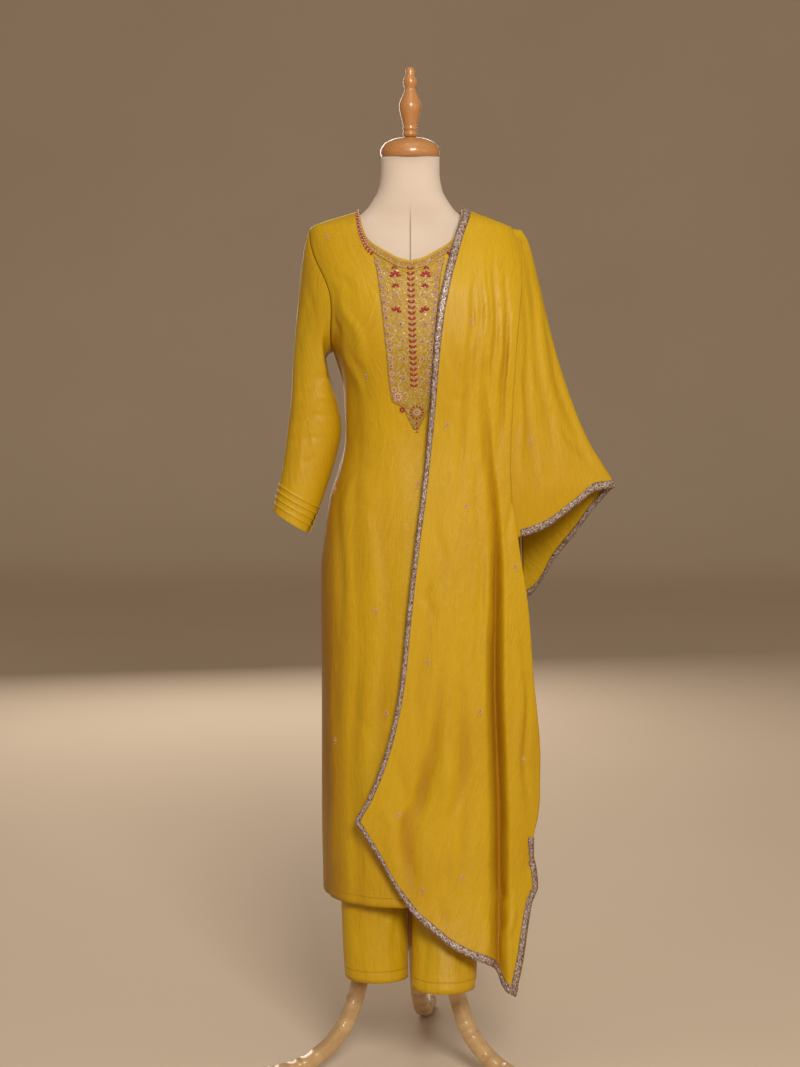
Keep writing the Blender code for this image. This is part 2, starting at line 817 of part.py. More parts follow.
def place_on(panel, x, height):
    """The panel's own coordinates under a place given by x and height."""
    u, v, step = 0.5, 0.9, 0.001
    for _ in range(30):
        here = panel(u, v, 0)
        across = (panel(u + step, v, 0) - here) / step
        along = (panel(u, v - step, 0) - here) / -step
        miss_x, miss_z = x - here.x, height - here.z
        scale = across.x * along.z - across.z * along.x
        u += (miss_x * along.z - miss_z * along.x) / scale
        v += (miss_z * across.x - miss_x * across.z) / scale
        u, v = min(max(u, 0.1), 0.9), min(max(v, 0.1), 0.999)
    return u, v


def yoke_strip(panel):
    """The embroidered yoke below the neck band, with its point and round medallion."""

    def surface(u, v):
        level = YOKE[0][0] + (YOKE[-1][0] - YOKE[0][0]) * v
        left, right = read(YOKE, level, 1), read(YOKE, level, 2)
        x = left + (right - left) * u
        top = read(NECKLINE, abs(x), 1) - NECK_BAND_WIDTH - YOKE_GAP
        height = YOKE[0][0] + (top - YOKE[0][0]) * v
        across, along = place_on(panel, x, height)
        return panel(across, along, CURVED_TRIM_LIFT)

    return surface


def edge_strip(panel, columns, low, high, last=False):
    """A lace strip that covers a panel's first or last column."""

    def surface(u, v):
        across = 1 - (1 - u) / columns if last else u / columns
        return panel(across, min(max(v, low), high), DUPATTA_WALL + TRIM_LIFT)

    return surface


def end_strip(panel, rows, lift=TRIM_LIFT, low=0.0):
    """A lace strip that covers a panel's first row, from the share low across."""
    return lambda u, v: panel(max(u, low), v / rows, DUPATTA_WALL + lift)


def make_form():
    heights = []
    for index, row in enumerate(TORSO):
        heights.append(row[0])
        if index + 1 < len(TORSO) and TORSO[index + 1][0] - row[0] > 0.06:
            heights.append(0.5 * (row[0] + TORSO[index + 1][0]))
    rows = len(heights) - 1

    def surface(u, v):
        height = heights[round(v * rows)]
        x, y = rounded(
            read(TORSO, height, 1), read(TORSO, height, 2), read(TORSO, height, 3), math.tau * u
        )
        return Vector((x, y, height))

    bm = grid(FORM_SIDES, rows, surface, closed=True)
    rims = [edge for edge in bm.edges if edge.is_boundary]
    bmesh.ops.holes_fill(bm, edges=rims, sides=0)
    bmesh.ops.recalc_face_normals(bm, faces=bm.faces)
    finish(bm, "form_torso", "linen")
    turned("form_neck_cap", NECK_CAP, 24, "wood")
    turned("form_finial", FINIAL, 14, "wood")


def make_stand():
    pole_low, pole_high = HUB[-1][1] + SEAM_GAP, TORSO[0][0] - SEAM_GAP
    turned("stand_pole", ((POLE_RADIUS, pole_low), (POLE_RADIUS, pole_high)), 12, "wood")
    turned("stand_hub", HUB, 16, "wood")
    for name, degrees in LEG_TURN.items():
        make_leg(name, math.radians(degrees))


def make_leg(name, turn):
    """A bent leg of rounded square section, with a flat underside where it stands."""
    out = Vector((math.cos(turn), math.sin(turn), 0.0))
    side = Vector((-out.y, out.x, 0.0))
    quarter = ((-0.5, -LEG_FACE), (-LEG_FACE, -0.5), (LEG_FACE, -0.5), (0.5, -LEG_FACE))
    corners = quarter + tuple((-wide, -thick) for wide, thick in quarter)
    bm = bmesh.new()
    rings = []
    for index, (reach, height) in enumerate(LEG_LINE):
        before, after = LEG_LINE[max(index - 1, 0)], LEG_LINE[min(index + 1, len(LEG_LINE) - 1)]
        along = Vector((after[0] - before[0], after[1] - before[1])).normalized()
        if index == 0:
            along = Vector((1.0, 0.0))
        normal = Vector((-along.y, along.x))
        ring = []
        for wide, thick in corners:
            place = Vector((reach, height)) + normal * thick * FOOT_THICKNESS
            flat = out * place.x + side * wide * LEG_WIDTH
            ring.append(bm.verts.new((flat.x, flat.y, max(place.y, 0.0))))
        rings.append(ring)
    for ring, following in zip(rings, rings[1:]):
        for k in range(len(corners)):
            after = (k + 1) % len(corners)
            bm.faces.new((ring[k], ring[after], following[after], following[k]))
    bm.faces.new(rings[0])
    bm.faces.new(reversed(rings[-1]))
    bmesh.ops.recalc_face_normals(bm, faces=bm.faces)
    finish(bm, "stand_leg_" + name, "wood")


def make_kurta():
    rows = SKIRT_ROWS + ARMHOLE_ROWS
    front = kurta_panel(NECKLINE, back=False)
    back = kurta_panel(BACK_NECKLINE, back=True)
    cloth("kurta_front", BODY_COLUMNS, rows, front, SILK_WALL)
    cloth("kurta_back", BACK_BODY_COLUMNS, rows, back, SILK_WALL)
    for name, side in (("right", -1), ("left", 1)):
        cloth(
            "kurta_sleeve_" + name, 2 * ARMHOLE_ROWS, SLEEVE_ROWS, sleeve_surface(side),
            SILK_WALL, closed=True,
        )
    panel = laid_on(BODY_COLUMNS, rows, front)
    band = neck_band_strip(panel, rows)
    cloth("kurta_neck_band", 16, NECK_BAND_ROWS, band, TRIM_WALL, side=1, closed=True,
          finish_name="embroidery")
    cloth("kurta_yoke", YOKE_COLUMNS, YOKE_ROWS, yoke_strip(panel), TRIM_WALL, side=1,
          finish_name="embroidery")


def make_trousers():
    for name, side in (("right", -1), ("left", 1)):
        cloth("trouser_leg_" + name, LEG_COLUMNS, len(TROUSER_ROWS) + 1, trouser_surface(side), SILK_WALL)
    cloth("trouser_waistband", FORM_SIDES, 1, waistband_surface, WAISTBAND_WALL, closed=True)


def make_dupatta():
    cloth("dupatta_front", DRAPE_COLUMNS, DRAPE_ROWS, front_fall, DUPATTA_WALL, side=1)
    cloth("dupatta_arm", ARM_COLUMNS, ARM_ROWS, arm_surface, DUPATTA_WALL, side=1)
    cloth("dupatta_back", BACK_COLUMNS, BACK_ROWS, back_fall, DUPATTA_WALL, side=1)


def make_laces():
    front = laid_on(DRAPE_COLUMNS, DRAPE_ROWS, front_fall)
    arm = laid_on(ARM_COLUMNS, ARM_ROWS, arm_surface)
    back = laid_on(BACK_COLUMNS, BACK_ROWS, back_fall)
    front_start = 1.0 / DRAPE_ROWS + STRIP_GAP
    back_start = 1.0 / BACK_ROWS + STRIP_GAP
    strips = {
        "inner": (1, DRAPE_ROWS, edge_strip(front, DRAPE_COLUMNS, front_start, 0.97)),
        "end": (DRAPE_COLUMNS, 1, end_strip(front, DRAPE_ROWS)),
        "arm": (ARM_COLUMNS, 1, end_strip(arm, ARM_ROWS, CURVED_TRIM_LIFT, ARM_LACE_START)),
        "back_inner": (1, BACK_ROWS, edge_strip(back, BACK_COLUMNS, back_start, 0.95, True)),
        "back_end": (BACK_COLUMNS, 1, end_strip(back, BACK_ROWS)),
    }
    for name, (columns, rows, surface) in strips.items():
        cloth("dupatta_lace_" + name, columns, rows, surface, TRIM_WALL, side=1,
              finish_name="lace")


def main():
    clear_scene()
    make_form()
    make_stand()
    make_kurta()
    make_trousers()
    make_dupatta()
    make_laces()


main()
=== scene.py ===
"""Looks of a three-piece salwar kameez suit on a limbless dress form.

Metres, +Z up, the wearer's front towards -Y. Shapes are worked out about the stand's own pole,
which stands at AXIS. Cloth is a fine lattice of points on the same sections as its solid, with
its creases laid in one by one; lace, embroidery and sprigs lie on that lattice.
"""
import math
from functools import lru_cache

import bmesh
import bpy
import numpy as np
from mathutils import Matrix, Vector, noise


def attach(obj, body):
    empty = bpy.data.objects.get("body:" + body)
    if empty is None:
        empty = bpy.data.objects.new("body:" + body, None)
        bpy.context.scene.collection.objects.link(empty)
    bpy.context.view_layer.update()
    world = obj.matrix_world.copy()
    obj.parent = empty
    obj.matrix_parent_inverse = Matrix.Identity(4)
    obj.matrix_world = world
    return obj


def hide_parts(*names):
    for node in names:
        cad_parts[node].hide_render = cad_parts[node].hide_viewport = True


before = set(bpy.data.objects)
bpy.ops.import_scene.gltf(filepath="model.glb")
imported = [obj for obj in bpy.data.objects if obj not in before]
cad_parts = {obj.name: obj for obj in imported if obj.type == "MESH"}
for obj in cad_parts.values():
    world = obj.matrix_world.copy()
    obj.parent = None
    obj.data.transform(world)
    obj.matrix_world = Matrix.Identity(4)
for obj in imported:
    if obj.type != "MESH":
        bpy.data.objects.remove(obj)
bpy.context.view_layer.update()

bl_info = {
    "name": "Salwar Kameez Suit",
    "version": (1, 0, 0),
    "blender": (4, 5, 0),
    "location": "View3D > Sidebar > Suit",
    "description": "Silk kurta, trousers and lace-edged dupatta on a dress form",
    "category": "Object",
}

AXIS = Vector((-0.0504, -0.041, 0.0))
SEAM_GAP = 0.0003
SHELL = 0.0009
KURTA_HEM = 0.315
SLIT_TOP = 0.48
SLIT_OPENING = math.radians(4.0)
UNDERARM = 1.235
SHOULDER_TIP = (0.168, 1.441)
NECK_POINT = (0.086, 1.472)
ARMHOLE_DEPTH = math.radians(33.0)
ARMHOLE_FLARE = 0.012
ARMHOLE_GAP = 0.0010
ARMHOLE_START = 15 / 23
YOKE_START = 17 / 23
ARMHOLE_CROWDING = 1.6
SIDE_SEAM_ANGLE = 0.0012
SHOULDER_SEAM_INSET = 0.0011
FRONT_SEAM_SHARE = 4 / 18
BACK_SEAM_SHARE = 3 / 14
SLEEVE_BLEND = 0.42
SQUARENESS = 2.4
CENTRE_GAP = 0.0004
INSEAM_ANGLE = 0.004
CROTCH_LOW, CROTCH_HIGH = 0.655, 0.765
TROUSER_TOP, WAISTBAND_TOP = 0.975, 1.005
TROUSER_EASE = 0.0055
TROUSER_HEM = {"right": 0.180, "left": 0.176}
NECK_BAND_WIDTH = 0.022
BAND_REACH = 0.0165
WORK_LIFT = 0.0010
YOKE_OVERLAP = 0.004
STITCH_LIFT = 0.0022
ROW_LIFT = 0.0026
LEAF_LIFT = 0.0014
LEAF_FREE = 0.060
COLUMN_INSET = 0.0062
STRIP_WALL = 0.0006
LACE_WALL = 0.0007
LACE_STEPS = 3
PICOT_HEIGHT, PICOT_LENGTH = 0.0011, 0.0042
LACE_WIDTH = 0.013
TURN_SHARE = 19 / 24
ARM_COVER = 0.94
ARM_RISE = 0.0035
FOLD_REACH = 0.024
FOLD_DEPTH = 0.0085
CUFF_SHARE = 0.13
CUFF_LENGTH = 0.062
PIPING_WIDTH = 0.0042
TURN_ROLL = 0.002
TURN_LEAN = 0.10
RIDGE_GAP = 0.0012
SHOULDER_CROWDING = 1.6
SHOULDER_SETTLE = 0.030
ARM_POINT = 1.25
ARM_TUCK = 0.006
ARM_TUCK_GAP = 0.0022
ARM_BACK_GAP = 0.0016
ARM_NEAREST = 0.016
LACE_LIFT = 0.0016
POLE_RADIUS = 0.014
LEG_THICKNESS, LEG_WIDTH = 0.026, 0.028
LEG_ROUNDNESS = 0.62
# Kurta sides that get painted shade down the silk: distance from the pole, and heights where it
# fades towards the shoulder
KURTA_SHADED_SIDES, KURTA_SIDE_SHADE_TOP = (0.096, 0.142), (1.22, 1.34)
STITCH_LENGTH, STITCH_WIDTH = 0.0034, 0.00042
TROUSER_STITCH_EXTRA = 0.004
PAPER_FLAT, PAPER_BEND = 6.0, 2.0
LIGHTS_AIM = (0.0, 0.0, 0.9)
CAMERA_PLACE = (-0.017, -3.6, 1.35)
CAMERA_TILT = math.radians(90.0 - 6.7)
CAMERA_LENS, CAMERA_SENSOR = 71.66, 36.0

# Kurta sections: height, half width, depth of the front, depth of the back
KURTA = (
    (0.315, 0.15, 0.152, 0.122), (0.45, 0.152, 0.139, 0.12), (0.65, 0.1515, 0.128, 0.117),
    (0.85, 0.152, 0.12, 0.115), (0.975, 0.139, 0.112, 0.1), (1.098, 0.1095, 0.104, 0.082),
    (1.16, 0.1115, 0.11, 0.085), (1.25, 0.134, 0.122, 0.092), (1.33, 0.153, 0.112, 0.092),
    (1.4, 0.171, 0.086, 0.076), (1.441, 0.168, 0.058, 0.054), (1.472, 0.086, 0.04, 0.04),
)
# Form sections, in the same columns
TORSO = (
    (0.78, 0.104, 0.074, 0.074), (0.79, 0.119, 0.087, 0.085), (0.86, 0.132, 0.099, 0.096),
    (0.975, 0.124, 0.097, 0.086), (1.098, 0.099, 0.093, 0.071), (1.16, 0.1, 0.098, 0.073),
    (1.25, 0.119, 0.107, 0.08), (1.33, 0.133, 0.096, 0.08), (1.4, 0.142, 0.068, 0.06),
    (1.432, 0.137, 0.043, 0.04), (1.448, 0.118, 0.0385, 0.037), (1.46, 0.092, 0.0385, 0.039),
    (1.47, 0.077, 0.0398, 0.041), (1.485, 0.065, 0.042, 0.045), (1.508, 0.053, 0.043, 0.046),
    (1.536, 0.049, 0.042, 0.045), (1.56, 0.049, 0.042, 0.045),
)
# Necklines: distance from the centre, height
NECKLINE = (
    (0.0, 1.388), (0.02, 1.3925), (0.038, 1.402), (0.056, 1.412), (0.071, 1.425), (0.08, 1.446),
    (0.086, 1.472),
)
BACK_NECKLINE = ((0.0, 1.44), (0.03, 1.4415), (0.055, 1.446), (0.075, 1.456), (0.086, 1.472))
# Sleeve: share of the length, outer and inner height, outer and inner side, half depth, y
SLEEVE = (
    (0.0, 1.425, 1.235, 0.185, 0.14, 0.05, 0.0), (0.2, 1.36, 1.19, 0.1895, 0.132, 0.047, 0.0),
    (0.38, 1.28, 1.15, 0.1925, 0.1225, 0.043, 0.0),
    (0.55, 1.19, 1.105, 0.198, 0.1165, 0.04, -0.003),
    (0.7, 1.115, 1.06, 0.205, 0.125, 0.037, -0.007), (0.85, 1.04, 1.0, 0.216, 0.144, 0.034, -0.012),
    (1.0, 0.969, 0.93, 0.232, 0.17, 0.031, -0.018),
)
# Large folds of the kurta's skirt: degrees round, top, depth, half width
KURTA_FOLDS = (
    (24.0, 1.0, 0.0035, 7.0), (58.0, 0.8, 0.003, 9.0), (96.0, 0.7, 0.0035, 10.0),
    (134.0, 0.9, 0.0035, 8.0), (205.0, 0.95, 0.004, 8.0), (247.0, 0.85, 0.004, 9.0),
    (290.0, 0.9, 0.004, 9.0), (332.0, 0.95, 0.0035, 8.0),
)
# Trouser legs: height, inner side, outer side, half depth
TROUSER_TUBE = (
    (0.15, 0.003, 0.104, 0.041), (0.2, 0.003, 0.112, 0.043), (0.32, 0.004, 0.118, 0.045),
    (0.45, 0.01, 0.124, 0.05), (0.6, 0.0155, 0.134, 0.066), (0.7, 0.0165, 0.142, 0.084),
    (0.8, 0.0165, 0.142, 0.1),
)
# How far each leg hangs forward: height, right leg, left leg
TROUSER_DRIFT = (
    (0.15, -0.1, -0.15), (0.25, -0.084, -0.11), (0.32, -0.072, -0.082), (0.45, -0.044, -0.048),
    (0.6, -0.018, -0.018), (0.72, 0.0, 0.0),
)
# Space that the dupatta hangs round: height, half width, depth in front, depth behind
DRAPE = (
    (0.15, 0.25, 0.212, 0.142), (0.22, 0.25, 0.197, 0.142), (0.32, 0.25, 0.172, 0.14),
    (0.45, 0.25, 0.158, 0.137), (0.65, 0.245, 0.146, 0.132), (0.85, 0.245, 0.136, 0.126),
    (0.975, 0.24, 0.127, 0.114), (1.1, 0.232, 0.12, 0.104), (1.25, 0.222, 0.129, 0.103),
    (1.33, 0.212, 0.119, 0.101), (1.4, 0.193, 0.092, 0.082), (1.4435, 0.17, 0.062, 0.058),
    (1.4755, 0.088, 0.044, 0.047),
)
# Front fall: height, inner edge, turned edge, length turned back
FRONT_FALL = (
    (0.15, -0.091, 0.17, 0.004), (0.22, -0.091, 0.187, 0.005), (0.278, -0.091, 0.197, 0.006),
    (0.314, -0.091, 0.204, 0.008), (0.337, -0.091, 0.215, 0.012), (0.417, -0.091, 0.207, 0.02),
    (0.462, -0.091, 0.216, 0.04), (0.493, -0.075, 0.219, 0.05), (0.552, -0.05, 0.219, 0.06),
    (0.625, -0.029, 0.214, 0.07), (0.703, -0.015, 0.206, 0.075), (0.808, -0.005, 0.197, 0.07),
    (0.923, 0.008, 0.179, 0.036), (1.006, 0.019, 0.169, 0.02), (1.073, 0.026, 0.165, 0.018),
    (1.154, 0.033, 0.168, 0.018), (1.232, 0.038, 0.173, 0.016), (1.306, 0.045, 0.179, 0.014),
    (1.363, 0.056, 0.183, 0.009), (1.411, 0.069, 0.183, 0.005), (1.4435, 0.079, 0.17, 0.003),
    (1.4745, 0.088, 0.088, 0.002),
)
# Lower end of the front fall: share across, height
FRONT_END = (
    (0.0, 0.462), (0.06, 0.435), (0.15, 0.392), (0.23, 0.347), (0.335, 0.308), (0.45, 0.281),
    (0.555, 0.258), (0.665, 0.241), (0.8, 0.224), (0.93, 0.18), (1.0, 0.168),
)
# Deep fold of the front fall: height, x of its middle, depth, half width
DEEP_FOLD = (
    (0.15, 0.148, 0.026, 0.019), (0.43, 0.149, 0.034, 0.02), (0.57, 0.145, 0.036, 0.019),
    (0.71, 0.141, 0.034, 0.018), (0.88, 0.142, 0.022, 0.016), (0.98, 0.137, 0.013, 0.014),
    (1.1, 0.125, 0.008, 0.013), (1.25, 0.118, 0.004, 0.012), (1.4, 0.115, 0.0, 0.012),
)
# Lesser folds: share across, lowest and highest height, depth, half width
LESSER_FOLDS = (
    (0.3, 0.2, 0.9, 0.006, 0.08), (0.42, 0.95, 1.38, 0.004, 0.07), (0.5, 0.25, 0.7, 0.005, 0.07),
    (0.86, 0.98, 1.36, 0.007, 0.07),
)
# Dupatta over the arm: height, reach of its tip
ARM_TIP = (
    (0.79, 0.29), (0.86, 0.352), (1.005, 0.348), (1.043, 0.328), (1.073, 0.309), (1.121, 0.286),
    (1.212, 0.253), (1.286, 0.232), (1.378, 0.21), (1.422, 0.197), (1.44, 0.186),
)
# Hem and top of the arm stretch: share round, hem height, top height
ARM_ENDS = (
    (0.0, 0.925, 1.392), (0.12, 0.941, 1.405), (0.25, 0.975, 1.424), (0.38, 1.004, 1.436),
    (0.5, 1.006, 1.439), (0.62, 0.975, 1.436), (0.75, 0.918, 1.424), (0.86, 0.868, 1.408),
    (0.94, 0.814, 1.398), (1.0, 0.8, 1.392),
)
# Back fall: height, inner edge, outer edge
BACK_FALL = (
    (0.2, 0.01, 0.2), (0.5, 0.02, 0.203), (0.85, 0.035, 0.196), (1.1, 0.048, 0.184),
    (1.3, 0.06, 0.184), (1.4, 0.074, 0.183), (1.4435, 0.082, 0.17), (1.4745, 0.088, 0.088),
)
BACK_END = (0.205, 0.235)
BACK_FOLDS = ((0.22, 0.011, 0.085), (0.47, 0.009, 0.075), (0.72, 0.012, 0.09))
# Yoke: height, left edge, right edge
YOKE = (
    (1.112, 0.006, 0.012), (1.132, -0.004, 0.023), (1.15, -0.012, 0.031), (1.16, -0.03, 0.034),
    (1.257, -0.041, 0.041), (1.358, -0.054, 0.05), (1.385, -0.06, 0.056),
)
# Turned profiles: radius, height
NECK_CAP = (
    (0.0, 1.5602), (0.0462, 1.5602), (0.049, 1.5625), (0.05, 1.568), (0.0494, 1.573),
    (0.047, 1.578), (0.043, 1.5828), (0.038, 1.586), (0.031, 1.5893), (0.024, 1.5915),
    (0.015, 1.5928), (0.0, 1.5932),
)
FINIAL = (
    (0.0, 1.5935), (0.0088, 1.5935), (0.0112, 1.595), (0.0124, 1.5975), (0.0124, 1.601),
    (0.0112, 1.6026), (0.0105, 1.6036), (0.0114, 1.6048), (0.0124, 1.6066), (0.0123, 1.6092),
    (0.0116, 1.6112), (0.0118, 1.6128), (0.0145, 1.623), (0.017, 1.6335), (0.0183, 1.64),
    (0.0187, 1.645), (0.018, 1.649), (0.0152, 1.6565), (0.0118, 1.664), (0.0096, 1.669),
    (0.0086, 1.674), (0.0098, 1.676), (0.0112, 1.679), (0.0119, 1.684), (0.0114, 1.688),
    (0.01, 1.6915), (0.0078, 1.6935), (0.0076, 1.696), (0.0076, 1.703), (0.0068, 1.706),
    (0.0045, 1.708), (0.0, 1.7085),
)
HUB = (
    (0.0, 0.2), (0.015, 0.2), (0.027, 0.2025), (0.031, 0.208), (0.032, 0.214), (0.032, 0.274),
    (0.0308, 0.28), (0.027, 0.287), (0.02, 0.295), (0.018, 0.296), (0.0, 0.296),
)
# Middle line of a stand leg: distance from the pole, height
LEG_LINE = (
    (0.0323, 0.24), (0.06, 0.23), (0.083, 0.196), (0.096, 0.15), (0.11, 0.104), (0.129, 0.068),
    (0.158, 0.04), (0.195, 0.02), (0.23, 0.0118), (0.27, 0.011),
)
LEG_TURN = {"right": 205.0, "left": -36.0, "back": 82.0}

# Creases of the cloth: ends as x and height, how far it stands out, half width
KURTA_CREASES = (
    (-0.132, 1.29, -0.086, 1.09, -0.0085, 0.019), (-0.108, 1.262, -0.062, 1.15, -0.003, 0.011),
    (-0.118, 1.34, -0.07, 1.215, 0.0032, 0.013), (-0.096, 1.115, -0.11, 0.985, -0.004, 0.012),
    (-0.1, 1.15, -0.104, 0.96, 0.0032, 0.012), (-0.118, 1.11, -0.122, 0.64, -0.004, 0.012),
    (-0.088, 1.06, -0.096, 0.42, -0.003, 0.015), (-0.066, 1.08, -0.07, 0.36, 0.003, 0.02),
    (-0.04, 0.99, -0.046, 0.345, -0.0034, 0.019), (-0.012, 1.05, -0.02, 0.5, 0.0028, 0.022),
    (-0.02, 0.6, -0.014, 0.33, -0.003, 0.016), (-0.14, 1.33, -0.112, 1.24, -0.0035, 0.009),
    (-0.132, 1.38, -0.09, 1.33, -0.0018, 0.012), (-0.15, 0.9, -0.143, 0.34, -0.003, 0.01),
    (-0.128, 0.76, -0.134, 0.35, 0.003, 0.01), (0.04, 1.04, 0.052, 0.36, -0.0035, 0.024),
    (0.1, 1.1, 0.11, 0.38, -0.004, 0.02), (-0.095, 1.0, -0.055, 0.972, -0.0014, 0.008),
    (-0.11, 1.06, -0.06, 1.046, -0.0013, 0.007), (-0.09, 0.64, -0.06, 0.59, -0.0012, 0.01),
)
BACK_CREASES = (
    (-0.07, 1.09, -0.082, 0.36, -0.0042, 0.018), (0.0, 1.06, 0.006, 0.345, -0.0034, 0.02),
    (0.075, 1.09, 0.086, 0.37, -0.0042, 0.018), (-0.036, 0.96, -0.042, 0.35, 0.0034, 0.018),
    (0.04, 0.96, 0.048, 0.35, 0.0034, 0.018), (-0.11, 1.06, -0.12, 0.4, -0.004, 0.014),
    (-0.11, 1.25, -0.05, 1.13, -0.0036, 0.012), (0.11, 1.25, 0.05, 1.13, -0.0036, 0.012),
    (-0.09, 1.07, 0.08, 1.078, -0.002, 0.01), (-0.07, 1.045, 0.09, 1.04, -0.0016, 0.009),
)
SLEEVE_CREASES = (
    (0.15, 1.345, 0.192, 1.25, -0.0024, 0.011), (0.17, 1.39, 0.16, 1.24, -0.0022, 0.01),
    (0.13, 1.205, 0.19, 1.165, -0.0036, 0.01), (0.128, 1.165, 0.185, 1.15, 0.0022, 0.009),
    (0.13, 1.135, 0.2, 1.12, -0.003, 0.009), (0.14, 1.095, 0.205, 1.09, -0.0018, 0.007),
    (0.15, 1.06, 0.185, 1.052, -0.002, 0.007), (0.16, 1.16, 0.19, 0.99, -0.002, 0.011),
    (0.185, 1.3, 0.205, 1.04, 0.002, 0.012), (0.17, 1.12, 0.2, 0.985, 0.0016, 0.009),
)
TROUSER_CREASES = (
    (0.052, 0.6, 0.054, 0.185, 0.0028, 0.01), (0.085, 0.48, 0.09, 0.185, -0.0034, 0.012),
    (0.026, 0.42, 0.022, 0.18, -0.003, 0.01), (0.02, 0.33, 0.06, 0.262, -0.0022, 0.01),
    (0.04, 0.262, 0.096, 0.226, -0.002, 0.01), (0.07, 0.35, 0.11, 0.3, -0.002, 0.01),
)
FALL_CREASES = (
    (0.186, 0.362, 0.214, 0.396, -0.007, 0.006), (0.176, 0.33, 0.15, 0.21, 0.005, 0.01),
    (0.064, 1.33, 0.075, 1.13, -0.0026, 0.012), (0.105, 1.36, 0.104, 1.12, -0.005, 0.01),
    (0.122, 1.4, 0.118, 1.18, 0.004, 0.009), (0.14, 1.39, 0.136, 1.12, -0.005, 0.009),
    (0.158, 1.38, 0.153, 1.06, -0.004, 0.008), (0.15, 1.3, 0.148, 1.02, 0.003, 0.008),
    (0.045, 0.985, 0.058, 0.86, -0.0026, 0.011), (0.028, 0.86, 0.034, 0.8, -0.003, 0.01),
    (0.03, 0.84, 0.01, 0.42, -0.0042, 0.018), (0.06, 0.9, 0.052, 0.33, 0.004, 0.02),
    (0.092, 0.78, 0.088, 0.27, -0.0044, 0.017), (0.112, 1.04, 0.118, 0.7, -0.004, 0.011),
    (0.128, 1.06, 0.134, 0.78, 0.005, 0.01), (-0.02, 0.56, 0.01, 0.33, -0.0036, 0.015),
    (-0.045, 0.5, -0.02, 0.37, 0.0028, 0.014), (0.178, 0.76, 0.186, 0.42, 0.005, 0.014),
    (0.192, 0.7, 0.196, 0.44, -0.004, 0.011), (0.17, 1.06, 0.16, 0.86, -0.0036, 0.009),
    (0.12, 0.33, 0.126, 0.205, 0.004, 0.012), (0.04, 0.38, 0.064, 0.262, -0.0034, 0.014),
    (0.062, 0.7, 0.1, 0.66, -0.0014, 0.01), (0.05, 1.18, 0.09, 1.15, -0.0014, 0.01),
)
ARM_CREASES = (
    (0.19, 1.42, 0.235, 1.06, -0.004, 0.011), (0.2, 1.38, 0.262, 1.04, 0.004, 0.012),
    (0.188, 1.34, 0.205, 1.0, -0.0046, 0.011), (0.182, 1.2, 0.19, 0.96, 0.0036, 0.009),
    (0.215, 1.3, 0.3, 1.03, -0.003, 0.01), (0.23, 1.14, 0.325, 1.02, -0.0024, 0.009),
)
BACK_FALL_CREASES = (
    (0.07, 1.36, 0.05, 0.3, -0.004, 0.014), (0.1, 1.4, 0.105, 0.26, -0.0046, 0.014),
    (0.135, 1.39, 0.15, 0.26, -0.005, 0.014), (0.118, 1.3, 0.128, 0.3, 0.004, 0.012),
    (0.165, 1.36, 0.176, 0.3, 0.004, 0.012), (0.085, 1.1, 0.078, 0.26, 0.004, 0.013),
)
# Pin tucks of the sleeves: distance up from the hem
CUFF_TUCKS = (0.0125, 0.023, 0.0335, 0.044)
# Sprigs scattered on each cloth: x, height
KURTA_SPRIGS = (
    (-0.138, 1.428), (-0.073, 1.199), (-0.126, 1.007), (-0.058, 0.812), (-0.126, 0.588),
    (0.013, 1.023), (-0.04, 0.64), (-0.082, 0.452), (-0.02, 0.382), (0.055, 0.9), (0.105, 0.7),
    (0.06, 0.52), (0.12, 0.44),
)
BACK_SPRIGS = (
    (-0.12, 1.34), (0.0, 1.3), (0.105, 1.22), (-0.07, 1.14), (0.02, 1.01), (-0.105, 0.93),
    (0.11, 0.88), (-0.01, 0.78), (-0.105, 0.64), (0.095, 0.6), (0.0, 0.48), (-0.1, 0.4),
    (0.11, 0.39),
)
FALL_SPRIGS = (
    (0.093, 0.987), (0.174, 0.885), (0.116, 0.647), (-0.019, 0.475), (0.087, 0.37), (0.098, 1.29),
    (0.06, 1.12), (0.03, 0.73), (0.19, 0.56), (0.02, 0.35),
)
ARM_SPRIGS = ((0.215, 1.27), (0.2, 1.09), (0.27, 1.08))
BACK_FALL_SPRIGS = (
    (0.12, 1.28), (0.085, 1.06), (0.16, 0.94), (0.08, 0.76), (0.16, 0.6), (0.07, 0.44),
    (0.15, 0.32),
)


def colour_setting(name, description, default):
    return bpy.props.FloatVectorProperty(
        name=name, description=description, default=default, subtype="COLOR", size=3, min=0.0,
        max=1.0)


def length_setting(name, description, default, low, high):
    return bpy.props.FloatProperty(
        name=name, description=description, default=default, min=low, max=high, unit="LENGTH")


